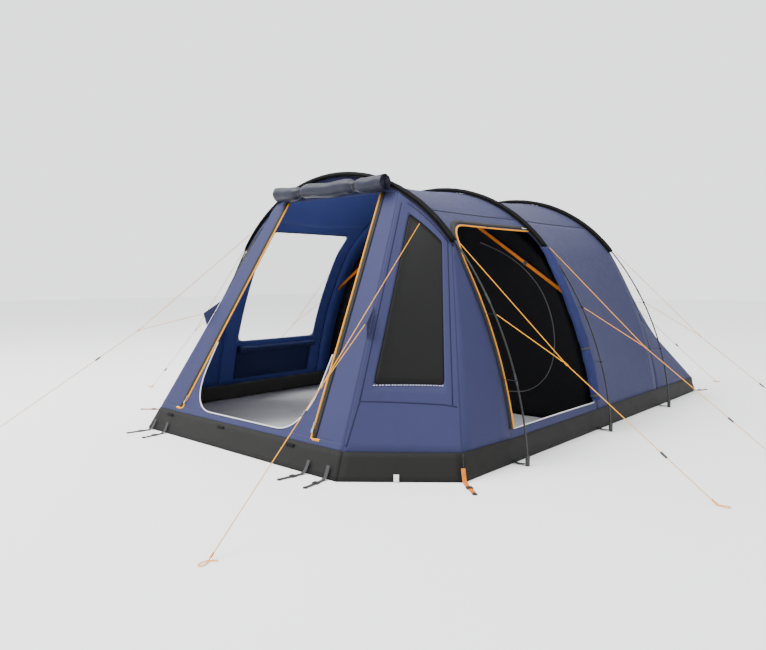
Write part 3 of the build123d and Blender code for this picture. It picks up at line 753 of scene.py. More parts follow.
@dataclass
class Studio:
    """Camera, pale floor and soft light."""

    place: Point = (3.648, -4.784, 1.141)
    turn: float = 0.7266
    down: float = 0.0719
    lens: float = 31.61
    floor: float = 60.0
    bright_side: Point = (-0.85, -0.10, 0.52)
    fade: Pair = (-0.7, 0.1)
    dim_sky: Point = (0.42, 0.43, 0.44)
    sky: Point = (0.98, 0.99, 1.0)
    sky_strength: float = 2.1

    def camera(self) -> None:
        """Set the camera."""
        data = bpy.data.cameras.new("camera")
        data.lens, data.sensor_width, data.clip_end = self.lens, 36.0, 200.0
        made = bpy.data.objects.new("camera", data)
        made.location = self.place
        made.rotation_euler = (math.pi / 2 - self.down, 0.0, self.turn)
        bpy.context.scene.collection.objects.link(made)
        bpy.context.scene.camera = made

    def lights(self) -> None:
        """Floor, sky and a large soft lamp."""
        part = grid(lambda u, v: ((u - 0.5) * self.floor, (v - 0.5) * self.floor, -0.001), 1, 1)
        mesh = bpy.data.meshes.new("floor")
        mesh.from_pydata(part[0], [], [tuple(reversed(f)) for f in part[1]])
        floor = bpy.data.objects.new("floor", mesh)
        bpy.context.scene.collection.objects.link(floor)
        paint = Paint("studio_floor")
        mottle = paint.noise(0.8)
        paint.set(Base_Color=paint.mix(mottle, (0.93, 0.93, 0.93), (0.96, 0.96, 0.96)), Roughness=0.9)
        mesh.materials.append(paint.material)
        world = bpy.data.worlds.new("studio")
        world.use_nodes = True
        nodes, sky = Nodes(world.node_tree), world.node_tree.nodes["Background"]
        where = nodes.node("ShaderNodeTexCoord", {}, {}, "Generated")
        lean = nodes.node("ShaderNodeVectorMath", {"operation": "DOT_PRODUCT"},
                          {0: where, 1: self.bright_side}, "Value")
        low, high = self.fade
        share = nodes.node("ShaderNodeMapRange", {}, {1: low, 2: high, 0: lean})
        nodes.feed(sky.inputs["Color"], nodes.mix(share, self.dim_sky, self.sky))
        nodes.feed(sky.inputs["Strength"], self.sky_strength)
        bpy.context.scene.world = world
        self.lamp("key", (-3.0, -5.0, 9.0), 5.0, 1500.0)

    def lamp(self, name: str, at: Point, size: float, power: float) -> None:
        """One square soft lamp aimed at the tent."""
        data = bpy.data.lights.new(name, "AREA")
        data.size, data.energy = size, power
        made = bpy.data.objects.new(name, data)
        made.location = at
        made.rotation_euler = (Vector((0, 0, 0.9)) - Vector(at)).to_track_quat("-Z", "Y").to_euler()
        bpy.context.scene.collection.objects.link(made)


@dataclass
class Guylines(Maker):
    """Guylines with their joins, knots and peg loops."""

    diameter: float = 0.0045
    ground: float = 0.00375
    clear: float = 0.027
    gap: float = 0.022
    hoop_start: Pair = (1.1232, 1.3681)
    hoop_join: Pair = (1.885, 0.640)
    hoop_peg: float = 2.713
    hoop_branch: Pair = (1.420, 0.906)

    def route(self, a: Point, b: Point, c: Point) -> list[Point]:
        """Main line's control points: a point near the join on each run keeps both runs straight."""
        p, q, r = Vector(a), Vector(b), Vector(c)
        before, after = (p - q).normalized() * self.clear, (r - q).normalized() * self.clear
        return [a, tuple(q + before), b, tuple(q + after), c]

    def wrap(self, centre: Vector, along: Vector, length: float, radius: float) -> Mesh:
        """Turns of cord wound round a line: a knot."""
        side = along.cross(Vector((0, 0, 1))).normalized()
        up = side.cross(along)
        turns = 3.5
        path = []
        for i in range(43):
            t = i / 42
            turn = 2 * math.pi * turns * t
            path.append(centre + along * (t - 0.5) * length
                        + (side * math.cos(turn) + up * math.sin(turn)) * radius)
        return rod(path, self.diameter * 0.45, 7)

    def peg_loop(self, end: Vector, along: Vector) -> Mesh:
        """Loop lying on the ground past the knot, and the cord's short tail."""
        flat = Vector((along.x, along.y, 0)).normalized()
        side = Vector((-flat.y, flat.x, 0))
        path = []
        for i in range(25):
            t = 2 * math.pi * i / 24
            reach = 0.030 * (1 - math.cos(t))
            path.append(Vector((end.x, end.y, self.ground)) + flat * reach
                        + side * 0.017 * math.sin(t) * math.sin(t / 2))
        tail = [Vector((end.x, end.y, self.ground)) + side * 0.004
                + (side * 0.035 - flat * 0.012) * (i / 6) for i in range(7)]
        return join([rod(path, self.diameter / 2), rod(tail, self.diameter / 2)])

    def knots(self, name: str, joint: Vector | None, start: Vector, end: Vector
              ) -> list[bpy.types.Object]:
        """Knot and peg loop of one line, and its join."""
        along = (end - (joint or start)).normalized()
        parts = [self.wrap(end - along * 0.022 + Vector((0, 0, 0.001)), along, 0.026, 0.0040),
                 self.peg_loop(end, along)]
        made = [piece(f"{name}_peg_knot", *join(parts), Finish.LINE)]
        if joint:
            made.append(piece(f"{name}_join_knot", *self.wrap(joint, along, 0.030, 0.0042), Finish.LINE))
        return made

    def line(self, name: str, main: Sequence[Point], branch: Point | None, length: float,
             branch_length: float = 0.0) -> None:
        """One guyline.

        Args:
            name: Its name.
            main: Start, join and peg, or start and peg.
            branch: Where its second leg starts, if it has one.
            length: Length of the main line; not used.
            branch_length: Length of the second leg; not used.
        """
        node = f"guyline_{name}"
        start, end = Vector(main[0]), Vector(main[-1])
        joint = Vector(main[1]) if len(main) == 3 else None
        knots = self.knots(node, joint, start, end)
        points = self.route(*main) if joint else [main[0], tuple((start + end) / 2 - Vector((0, 0, 0.012))),
                                                  main[-1]]
        made = self.cord_line(f"{node}_main", points, self.diameter, Finish.LINE, [node], "guyline_cord")
        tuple(main[0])
        if branch:
            stop = joint - (joint - Vector(branch)).normalized() * self.gap
            leg = self.cord_line(f"{node}_leg", [branch, tuple((Vector(branch) + stop) / 2), tuple(stop)],
                                 self.diameter, Finish.LINE, [node], "guyline_cord")

    def build(self) -> None:
        """Make all ten."""
        for hoop, y in zip(("front", "middle", "rear"), self.shape.hoops):
            for word, s in (("right", 1), ("left", -1)):
                main = [(s * self.hoop_start[0], y, self.hoop_start[1]),
                        (s * self.hoop_join[0], y, self.hoop_join[1]), (s * self.hoop_peg, y, self.ground)]
                self.line(f"{hoop}_{word}", main, (s * self.hoop_branch[0], y, self.hoop_branch[1]),
                          2.098, 0.514)
        self.line("porch_right", [(0.897, -1.332, 1.484), (1.120, -2.420, 0.575),
                                  (1.378, -3.284, self.ground)], (0.868, -1.822, 0.850), 2.503, 0.683)
        self.line("porch_left", [(-0.897, -1.332, 1.484), (-1.085, -2.228, 0.739),
                                 (-1.378, -3.284, self.ground)], (-0.868, -1.822, 0.850), 2.500, 0.452)
        for word, s in (("right", 1), ("left", -1)):
            self.line(f"corner_{word}", [(s * 0.890, 1.694, 1.086), (s * 1.540, 3.032, self.ground)],
                      None, 1.840)


@dataclass
class Poles(Maker):
    """Poles, ferrules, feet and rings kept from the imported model, with sleeves and clips of cloth."""

    sleeve_steps: int = 150
    sleeve_radius: float = 0.0172
    flange: float = 0.062
    clip_radius: float = 0.0088
    clip_heights: Pair = (0.910, 0.510)

    def dress(self, nodes: dict) -> None:
        """Give the kept nodes their finishes."""
        kept = {Finish.POLE: [f"hoop_pole_{n}" for n in ("front", "middle", "rear")],
                Finish.FERRULE: ["pole_ferrules"],
                Finish.PLASTIC: ["pole_feet", "ladder_locks", "peg_rings"],
                Finish.METAL: ["front_slider_right", "front_slider_left", "side_slider", "bedroom_slider"],
                Finish.RUNNER: [n for n in nodes if n.startswith("runner_")]}
        for finish, names in kept.items():
            for name in names:
                data = nodes[name].data
                data.materials.clear()
                data.materials.append(Palette.get(finish))
                log.info("%s: %s", name, finish.value.name)

    def sleeve(self, name: str, y: float) -> None:
        """One hoop's sleeve with its gathered wrinkles and sewn flange."""
        s, steps = self.shape, self.sleeve_steps

        def over(inset: float) -> list[Vector]:
            """Line over the hoop, inside it by inset."""
            return [Vector((x, y, z)) for x, z in (s.arc(s.end_angle * (1 - 2 * i / steps), inset)
                                                   for i in range(steps + 1))]
        path, cloth = over(0.0), over(s.inset - 0.002)

        def radius(share: float, t: float) -> float:
            """Wrinkled radius along and around the sleeve."""
            fold = ripple(share * 26, math.cos(t) * 1.2 + y, math.sin(t) * 1.2, 1.6)
            fine = ripple(share * 120, math.cos(t) + y, math.sin(t), 1.0)
            end = 1.0 - 0.22 * math.exp(-min(share, 1 - share) * 180)
            return self.sleeve_radius * end * (1 + 0.10 * fold + 0.04 * fine)
        verts, faces = tube(path, radius, 18)
        faces = [f for f in faces if len(f) == 4]
        verts = verts[:-2]
        flange = tape(cloth, self.flange, [p - q for p, q in zip(path, cloth)], 0.004)
        trim = piece(f"sleeve_flange_{name}", *facing(flange), Finish.SLEEVE, slot="sleeve_cloth",
                     thickness=0.0012)
        self.panel(f"sleeve_{name}", (verts, [tuple(reversed(f)) for f in faces]), Finish.SLEEVE,
                   [f"pole_sleeve_{name}"], (0.125, 3.35), "gathered", trims=[trim])

    def clips(self) -> None:
        """Webbing clips that hold the fly to the bare poles."""
        s, parts = self.shape, []
        for y in s.hoops:
            for z in self.clip_heights:
                t = s.angle(z)
                x = s.arc(t)[0]
                a, b = s.arc(t - 0.2), s.arc(t + 0.2)
                along = Vector((a[0] - b[0], 0, a[1] - b[1])).normalized()
                parts.append(collar(Vector((x, y, z)), Vector((along.z, 0, -along.x)), Vector((0, 1, 0)),
                                    self.clip_radius, 0.012, 16))
                reach = [Vector((s.half(z) + 0.0015, y, z)), Vector((s.half(z) + 0.02, y, z)),
                         Vector((x - 0.0085, y, z))]
                parts.append(tape(reach, 0.0125, [Vector((0, 0, 1))] * 3))
        both = join(parts)
        piece("pole_clip_straps", *join([both, mirror(both)]), Finish.BLACK_WEB, ["pole_clips"],
              thickness=0.002)

    def build(self, nodes: dict) -> None:
        """Make them."""
        self.dress(nodes)
        for name, y in zip(("front", "middle", "rear"), self.shape.hoops):
            self.sleeve(name, y)
        self.clips()


@dataclass
class Front(Maker):
    """Sloping front with its open door: side strips, header, sill, zips, flaps, piping and rolled door."""

    zip_foot: Pair = (0.698, 0.182)
    zip_head: Pair = (0.486, 1.722)
    opening_z: Pair = (0.190, 0.500)
    flat_half: float = 0.350
    flap: float = 0.034
    roll_half: float = 0.570
    roll_at: Pair = (-1.298, 1.790)
    roll_radius: float = 0.045
    tie_x: float = 0.288
    tie_width: float = 0.014
    tie_radius: float = 0.0385
    piping_top: float = 0.46

    def zip_x(self, z: float) -> float:
        """x of the right zip at a height."""
        share = (z - self.zip_foot[1]) / (self.zip_head[1] - self.zip_foot[1])
        return self.zip_foot[0] + (self.zip_head[0] - self.zip_foot[0]) * share

    def inner(self, z: float) -> float:
        """x of the opening's edge at a height above the sill."""
        low, high = self.opening_z
        if z >= high:
            return self.zip_x(z) - 0.040 + 0.030 * min(1.0, (z - high) / 0.20)
        rise = max(0.0, (z - low) / (high - low))
        reach = self.zip_x(high) - 0.040 - self.flat_half
        return self.flat_half + reach * (1 - (1 - rise) ** 2.3) ** (1 / 2.3)

    def strip(self) -> Mesh:
        """Right strip beside the opening."""
        s = self.shape
        rows = [0.190 + (self.zip_head[1] - 0.190) * (i / 60) ** 1.8 for i in range(61)]

        def surface(u: float, v: float) -> Point:
            """Point across and up the strip."""
            z = rows[round(u * 60)]
            x = self.inner(z) + (s.edge(z) + 0.001 - self.inner(z)) * v
            crease = 0.004 * ripple(x * 2.2, z * 0.7, 0.3, 3.0) * math.sin(math.pi * min(1, v))
            return s.face(x, z, crease)
        return grid(surface, 60, 14)

    def header(self) -> Mesh:
        """Header over the door up to the front hoop."""
        s = self.shape

        def surface(u: float, v: float) -> Point:
            """Point across and up the header."""
            x = (2 * u - 1) * s.edge(s.header) * 0.995
            top = math.sqrt((s.crown - s.inset) ** 2 - x * x) + s.centre
            z = self.zip_head[1] + max(0.002, top - self.zip_head[1]) * v
            return s.face(x, min(z, s.height - s.inset), 0.0)
        return grid(surface, 40, 6)

    def sill(self) -> Mesh:
        """Thin strip of fly across the sill, above the mud band."""
        s = self.shape
        return grid(lambda u, v: s.face((2 * u - 1) * (s.edge(0.16) - 0.002), s.band - 0.008 + 0.049 * v),
                    50, 3)

    def piping(self) -> bpy.types.Object:
        """Pale bound edge round the opening."""
        s, path = self.shape, [(0.0, self.opening_z[0]), (self.flat_half, self.opening_z[0])]
        for i in range(1, 41):
            z = self.opening_z[0] + self.piping_top * (i / 40) ** 1.8
            path.append((self.inner(z), z))
        right = [Vector(s.face(x, z, 0.002)) for x, z in path]
        left = [Vector((-p.x, p.y, p.z)) for p in reversed(right[1:])]
        return piece("front_door_piping", *rod(left + right, self.piping_radius), Finish.PIPING,
                     slot="fly_cloth")

    def zips(self) -> None:
        """Zip tapes with teeth, and the flap beside each."""
        s = self.shape
        normal = Vector((0, -1, s.slope)).normalized()
        ends = [Vector(s.face(*self.zip_foot, 0.002)), Vector(s.face(*self.zip_head, 0.002))]
        foot = [Vector(s.face(self.zip_foot[0] + 0.075, 0.176, 0.002)),
                Vector(s.face(self.zip_foot[0] + 0.020, 0.176, 0.002))]
        line = foot + between(*ends, 60)
        right = zipper(line, [normal] * len(line), 0.016, 0.001, 0.0028, 0.002)
        zips = piece("front_zips", *join([right, mirror(right)]), Finish.ORANGE_ZIP, ["door_zips"],
                     thickness=0.001)
        step = (0.012 + self.flap) / 2 + 0.0015
        rows = between(Vector((self.zip_foot[0] + step, 0, self.zip_foot[1])),
                       Vector((self.zip_head[0] + step, 0, self.zip_head[1])), 40)
        lines = [Vector(s.face(p.x, p.z, 0.004)) for p in rows]
        flap = facing(tape(lines, self.flap, [normal] * len(lines), 0.004), tuple(normal))
        flaps = join([flap, mirror(flap)])
        self.panel("front_zip_flaps", flaps, Finish.FLAP, ["zip_flaps"], (0.070, 1.80),
                   towards=(0, -1, 0.56), trims=[zips])

    def roll(self) -> None:
        """Rolled door: a spiral of cloth, drawn in by its ties."""
        turns, columns, around = 8, 96, 22
        y, z = self.roll_at

        def surface(u: float, v: float) -> Point:
            """Point along the roll and round its spiral."""
            x = (2 * u - 1) * self.roll_half
            t = 2 * math.pi * turns * v
            radius = 0.007 + (self.roll_radius + 0.005) * v
            waist = sum(math.exp(-((x - c) / 0.035) ** 2) for c in (-self.tie_x, self.tie_x))
            puff = 1.0 - 0.34 * waist + 0.07 * ripple(x * 3.0, math.cos(t), math.sin(t), 1.3)
            puff += 0.06 * ripple(x * 11, math.cos(t) * 1.5, math.sin(t) * 1.5, 1.0)
            sag = -0.010 * math.sin(math.pi * u * 3) ** 2
            start = 0.9
            return (x, y + math.cos(t + start) * radius * puff, z + math.sin(t + start) * radius * puff + sag)
        part = grid(surface, columns, turns * around)
        made = piece("front_door_rolled", *part, Finish.ROLL, ["front_door_roll"], "fly_cloth",
                     thickness=0.0008)
        round(area_of(part), 3)
        rings = []
        for x in (-self.tie_x, self.tie_x):
            rings.append(collar(Vector((x, y, z - 0.009)), Vector((0, 1, 0)), Vector((0, 0, 1)),
                                self.tie_radius, self.tie_width, 32))
            bar = between(Vector((x - 0.020, y - 0.040, z + 0.004)),
                          Vector((x + 0.020, y - 0.040, z + 0.004)), 8)
            rings.append(tube(bar, lambda a, t: 0.0042 + 0.002 * math.sin(math.pi * a), 10))
            hanger = [Vector((x, y + 0.036, z + 0.010)), Vector((x, y + 0.055, z + 0.030)),
                      Vector((x, self.shape.hoops[0] - 0.006, z + 0.050))]
            rings.append(tape(hanger, self.tie_width, [Vector((0, 0, 1))] * 3))
        piece("front_door_ties", *join(rings), Finish.GREY, ["door_toggles"], thickness=0.0016)

    def guy_flaps(self) -> None:
        """Reinforced flaps that the porch guylines' second legs pull on."""
        s = self.shape

        def surface(u: float, v: float) -> Point:
            """Point out and up the flap."""
            z = 0.760 + 0.190 * v
            root = Vector((s.edge(z) + 0.002, s.front + s.slope * z - 0.003, z))
            tip = Vector((0.866, -1.805, 0.846 + 0.012 * v))
            return tuple(root.lerp(tip, u))
        part = facing(grid(surface, 8, 8), (0.6, -0.7, 0.3))
        self.panel("porch_guy_flaps", join([part, mirror(part)]), Finish.FLY, ["guy_flaps"], (0.2, 0.14),
                   slot="fly_cloth", towards=(0, -1, 0))

    def build(self) -> None:
        """Make it."""
        edge, strip = self.piping(), self.strip()
        for name, part, flat in (("strip_right", strip, (0.65, 1.80)),
                                 ("strip_left", mirror(strip), (0.65, 1.80)),
                                 ("header", self.header(), (1.36, 0.19)),
                                 ("sill", self.sill(), (2.02, 0.06))):
            self.fly(f"front_{name}", part, "front_panel", flat, [edge] if name == "strip_right" else (),
                     (0, -1, 0.5))
        self.zips()
        self.roll()
        self.guy_flaps()


@dataclass
class Corners(Maker):
    """Front corner panels with their tinted windows, and the gussets behind them."""

    window_low: tuple = (0.15, 0.86, 0.33)
    window_foot: float = 0.505
    window_high: tuple = (0.21, 0.85, 0.94)

    def build(self) -> None:
        """Make both."""
        s = self.shape
        foot = (s.band - 0.010) / 1.6
        u1, u2, v1 = self.window_low
        u3, u4, v2 = self.window_high
        outer = loop([(-0.002, foot * 0.93), (1.0, foot * 1.13), (1.0, 0.999), (-0.002, 0.999)], 24)
        tops = [s.arc(s.head_angle + (s.end_angle - s.head_angle) * u, s.inset)[1] for u in (u1, u2)]
        w1, w2 = self.window_foot / tops[0], self.window_foot / tops[1]
        hole = loop([(u1, w1), (u2, w2), (u4, v2), (u3, v2)], 24, [0.02] * 4)
        panel = ring(s.corner, outer, hole, 7)
        pane = grid(lambda a, b: s.corner(u1 - 0.02 + (u2 - u1 + 0.04) * a + (u3 - u1) * b * (1 - a),
                                          (w1 + (w2 - w1) * a) * (1 - b) + v2 * b - 0.01 + 0.02 * b),
                    14, 18)
        pane = ([(x - 0.002, y + 0.002, z - 0.001) for x, y, z in pane[0]], pane[1])
        heights = [s.band - 0.008 + (1.345 - s.band) * i / 20 for i in range(21)]

        def gusset(u: float, v: float) -> Point:
            """Point up and across the gusset."""
            z = heights[round(u * 20)]
            p, q = Vector(s.corner_at(1.0, z)), Vector((s.half(z), s.hoops[0] - 0.001, z))
            return tuple(p.lerp(q, v))
        side = grid(gusset, 20, 5)
        normal = Vector(s.corner_out).normalized()

        def seam(a: Pair, b: Pair) -> Mesh:
            """Seam line between two points of the corner."""
            line = [Vector(s.corner(a[0] + (b[0] - a[0]) * i / 16, a[1] + (b[1] - a[1]) * i / 16))
                    + normal * 0.0012 for i in range(17)]
            return facing(tape(line, 0.007, [normal] * 17, 0.001), tuple(normal))
        low = (0.055, w1 - 0.06)
        lines = join([seam((0.07, 0.965), low), seam(low, (0.97, w2 - 0.07)),
                      seam((0.93, 0.97), (0.93, w2 - 0.068)), seam(low, (0.02, 0.10)),
                      seam((0.15, 0.975), (0.93, 0.972))])
        for word, flip in (("right", False), ("left", True)):
            def turned(part: Mesh) -> Mesh:
                """The part on its own side."""
                return mirror(part) if flip else part
            hem = piece(f"corner_seams_{word}", *turned(lines), Finish.SEAM, slot="fly_cloth",
                        thickness=0.0008)
            # Pale dashes along the window's lower edge: a painted highlight of the seam catching the light.
            row = [Vector(s.corner(u1 + (u2 - u1) * i / 12, w1 + (w2 - w1) * i / 12 - 0.004)) + normal * 0.003
                   for i in range(13)]
            if flip:
                row = [Vector((-p.x, p.y, p.z)) for p in row]
            out = Vector((-normal.x if flip else normal.x, normal.y, normal.z))
            seam_glint = self.seam_glint_dashes(f"corner_seam_glint_{word}", row, out)
            node = f"corner_panel_{word}"
            self.fly(f"corner_{word}", turned(panel), node, (0.75, 1.85), [hem, seam_glint])
            self.fly(f"gusset_{word}", turned(side), node, (0.60, 1.25))
            self.panel(f"corner_window_{word}", turned(pane), Finish.DARK, ["corner_windows"],
                       (0.66, 1.15), thickness=0.0006)


@dataclass
class Canopy(Maker):
    """Roof and walls of the two bays, the left window with its blind, and the seams."""

    window_y: Pair = (-1.069, -0.150)
    window_z: Pair = (0.550, 1.520)
    blind_z: float = 0.470
    blind_radius: float = 0.032
    shadow_sheet_foot: float = 0.19
    roof_flat: Pair = (2.20, 1.24)

    def roof(self, name: str, node: str, bay: Pair) -> None:
        """Roof of one bay."""
        s = self.shape
        half = s.angle(s.seam, s.inset) - 0.1
        part = grid(lambda u, v: s.roof(share_of(bay, u), half * (1 - 2 * v), bay), 20, 40)
        self.fly(name, part, node, self.roof_flat)

    def plain_wall(self, name: str, node: str, bay: Pair, side: int) -> None:
        """Wall with no opening."""
        s = self.shape
        part = grid(lambda u, v: s.wall(share_of(bay, u), share_of(s.wall_z, v), bay, side), 20, 30)
        self.fly(name, part, node, (1.24, 1.62))

    def left_wall(self, bay: Pair) -> None:
        """Left wall round its clear window."""
        s = self.shape
        outer = rectangle(bay, s.wall_z, 26)
        y1, y2 = self.window_y
        z1, z2 = self.window_z
        hole = rectangle(self.window_y, self.window_z, 26, [0.05] * 4)
        pane = grid(lambda u, v: s.wall(y1 - 0.01 + (y2 - y1 + 0.02) * u, z1 - 0.01 + (z2 - z1 + 0.02) * v,
                                        bay, -1, 0.0018), 14, 16)
        rim = [Vector(s.wall(y, z, bay, -1, -0.001)) for y, z in
               rectangle((y1 - 0.012, y2 + 0.012), (z1 - 0.012, z2 + 0.012), 20, [0.05] * 4)]
        normals = [Vector((-1, 0, 0.15))] * (len(rim) + 1)
        hem = piece("window_hem", *facing(tape(rim + rim[:1], 0.024, normals, 0.001), (-1, 0, 0.1)),
                    Finish.FLY, slot="fly_cloth", thickness=0.001)
        self.fly("wall_left_cloth", ring(lambda y, z: s.wall(y, z, bay, -1), outer, hole, 6), "wall_left",
                 (1.21, 1.62), [hem])
        self.panel("window_left", pane, Finish.CLEAR, ["side_window"], (0.94, 1.02), thickness=0.0006)

    def blind(self) -> None:
        """Window blind rolled up under the window, with a dark navy sheet of painted shadow on the wall below
        it.
        """
        s = self.shape
        x = -(s.half(self.blind_z) - 0.003 - self.blind_radius - 0.012)
        path = between(*(Vector((x, y, self.blind_z)) for y in self.window_y), 60)

        def radius(share: float, t: float) -> float:
            """Loosely rolled radius, drawn in by two ties."""
            waist = sum(math.exp(-((share - c) / 0.03) ** 2) for c in (0.22, 0.78))
            return self.blind_radius * (0.93 - 0.25 * waist + 0.07 * ripple(share * 9, math.cos(t),
                                                                          math.sin(t), 1.5))
        # Dark navy sheet on the wall's inner side beneath the rolled blind: a painted shadow of the blind.
        shadow_sheet_z = (self.shadow_sheet_foot, self.blind_z)
        shadow_sheet = grid(lambda u, v: s.wall(share_of(self.window_y, u), share_of(shadow_sheet_z, v), s.living, -1,
                                          0.006), 16, 10)
        piece("blind_shadow_sheet", *facing(shadow_sheet, (-1, 0, 0)), Finish.BLIND, slot="dark_blue_cloth",
              thickness=0.001)
        made = piece("window_blind_rolled", *tube(path, radius, 20), Finish.BLIND, ["window_blind"])

    def seams(self, bays: Sequence[Pair]) -> None:
        """Felled seams between roof and walls."""
        s, parts = self.shape, []
        for bay in bays:
            line = [Vector(s.wall(share_of(bay, i / 20), s.seam - 0.006, bay, 1, -0.0015))
                    for i in range(21)]
            parts.append(facing(tape(line, 0.016, [Vector((0.75, 0, 0.65))] * 21, 0.001), (1, 0, 1)))
        both = join(parts)
        piece("roof_seams", *join([both, mirror(both)]), Finish.SEAM, slot="fly_cloth", thickness=0.001)

    def build(self) -> None:
        """Make both bays."""
        living, bedroom = self.shape.living, self.shape.bedroom
        self.roof("roof_living_cloth", "roof_living", living)
        self.roof("roof_bedroom_cloth", "fly_bedroom", bedroom)
        for word, side in (("right", 1), ("left", -1)):
            self.plain_wall(f"wall_bedroom_{word}", "fly_bedroom", bedroom, side)
        self.left_wall(living)
        self.blind()
        self.seams((living, bedroom))


@dataclass
class SideDoor(Maker):
    """Right wall with its open side door: zip, flap, piping and the door rolled back."""

    door_y: Pair = (-1.179, -0.034)
    door_z: Pair = (0.205, 1.490)
    turn: float = 0.280
    roll_y: float = -0.092
    roll_z: Pair = (0.235, 1.340)
    roll_radius: float = 0.042
    tie_radius: float = 0.037

    def normal(self, z: float) -> Vector:
        """Outward direction of the wall at a height."""
        dx = self.shape.half(z + 0.002) - self.shape.half(z - 0.002)
        return Vector((0.004, 0, -dx)).normalized()

    def on_wall(self, y: float, z: float, off: float, bay: Pair) -> Vector:
        """Point off the wall's cloth."""
        return Vector(self.shape.wall(y, z, bay)) + self.normal(z) * off

    def edge(self, grow: float) -> list[Pair]:
        """Opening's zipped edge, up the front, round the corner and along the top."""
        y1, y2 = self.door_y
        low, high = self.door_z
        line = [(y1 - grow, low + (high - self.turn - low) * i / 30) for i in range(31)]
        for i in range(1, 12):
            t = math.pi / 2 * i / 12
            r = self.turn + grow
            line.append((y1 + self.turn - r * math.cos(t), high - self.turn + r * math.sin(t)))
        line += [(y1 + self.turn + (y2 - y1 - self.turn) * i / 20, high + grow) for i in range(21)]
        return line

    def roll(self, bay: Pair) -> None:
        """Door rolled back beside the middle hoop."""
        steps = 80

        def centre(z: float) -> Vector:
            """Middle of the roll at a height."""
            return Vector((self.shape.half(z), self.roll_y, z)) + self.normal(z) * (self.roll_radius + 0.008)
        path = [centre(share_of(self.roll_z, i / steps)) for i in range(steps + 1)]
        ties = (0.02, 0.33)
        turns, around = 7, 20
        out, back = Vector((1, 0, 0)), Vector((0, 1, 0))

        def surface(u: float, v: float) -> Point:
            """Point along the roll and round its spiral."""
            p = path[round(u * steps)]
            t = 2 * math.pi * turns * v
            waist = sum(math.exp(-((u - c) / 0.035) ** 2) for c in ties)
            full = 0.86 + 0.12 * math.sin(math.pi * u) - 0.12 * waist
            full += 0.13 * ripple(u * 7, math.cos(t), math.sin(t), 1.4)
            full += 0.08 * ripple(u * 22, math.cos(t), math.sin(t), 1.0)
            r = (0.006 + (self.roll_radius - 0.006) * v) * full
            return tuple(p + (out * math.cos(t) + back * math.sin(t)) * r)
        part = grid(surface, steps, turns * around)
        made = piece("side_door_rolled", *part, Finish.SIDE_ROLL, ["side_door_roll"], "fly_cloth",
                     thickness=0.0008)
        round(area_of(part), 3)
        rings = []
        for share in ties:
            i = round(share * steps)
            p = path[i]
            along = (path[min(i + 1, steps)] - path[max(i - 1, 0)]).normalized()
            side = along.cross(back).normalized()
            rings.append(collar(p, side, back, self.tie_radius, 0.014, 28))
        piece("side_door_ties", *join(rings), Finish.GREY, ["door_toggles"], thickness=0.0016)

    def build(self) -> None:
        """Make it."""
        s = self.shape
        bay = s.living
        outer = rectangle(bay, s.wall_z, 30)
        hole = rectangle(self.door_y, self.door_z, 30, [0.03, 0.03, 0.03, self.turn])
        tape_line = [self.on_wall(y, z, 0.002, bay) for y, z in self.edge(0.004)]
        normals = [self.normal(z) for y, z in self.edge(0.004)]
        zips = piece("side_door_zip", *zipper(tape_line, normals, 0.014, 0.001, 0.0026, 0.002),
                     Finish.ORANGE_ZIP, ["door_zips"], thickness=0.001)
        band = self.edge(0.030)
        flap = piece("side_door_flap", *facing(tape([self.on_wall(y, z, 0.003, bay) for y, z in band], 0.034,
                                                    [self.normal(z) for y, z in band], 0.003), (1, 0, 0.2)),
                     Finish.FLAP, slot="flap_cloth", thickness=0.0012)
        sill = [self.on_wall(share_of(self.door_y, i / 20), self.door_z[0], 0.002, bay) for i in range(21)]
        piping = piece("side_door_piping", *rod(sill, self.piping_radius), Finish.PIPING, slot="fly_cloth")
        self.fly("wall_right_cloth", ring(lambda y, z: s.wall(y, z, bay), outer, hole, 5), "wall_right",
                 (1.00, 1.00), [zips, flap, piping])
        self.roll(bay)


@dataclass
class Rear(Maker):
    """Sloping rear panel and its two side panels."""

    def build(self) -> None:
        """Make it."""
        s = self.shape
        arch = s.arch(40)
        last = len(arch) - 1

        def slope(u: float, v: float) -> Point:
            """Point across the arch and down to the band."""
            x, z = arch[round(u * last)]
            top = Vector((x, s.hoops[2] + 0.005, z))
            foot = Vector(s.rear_line((s.base - 0.002) * (1 - 2 * u), s.band - 0.008))
            return tuple(top.lerp(foot, v) - Vector((0, 0.006, 0.009)) * math.sin(math.pi * v)
                         + Vector((0, 1, 0.5)) * 0.004 * ripple(x, v * 2, 0, 2.0) * math.sin(math.pi * v))

        def side(u: float, v: float) -> Point:
            """Point up and across the side panel."""
            z = s.band - 0.008 + (s.rear_seam + 0.010 - s.band) * u
            low = Vector(s.rear_line(s.base - 0.004, s.band + 0.0015))
            top = Vector((s.half(s.rear_seam), s.hoops[2] + 0.005, s.rear_seam))
            share = max(0.0, min(1.0, (z - s.band) / (s.rear_seam - s.band)))
            return tuple(Vector((s.half(z), s.hoops[2] + 0.005, z)).lerp(low.lerp(top, share), v))
        self.fly("rear_slope", grid(slope, last, 16), "fly_rear", (3.1, 2.15), towards=(0, 1, 0.5))
        part = grid(side, 14, 14)
        for word, turned in (("right", part), ("left", mirror(part))):
            self.fly(f"rear_side_{word}", turned, "fly_rear", (1.05, 0.62))


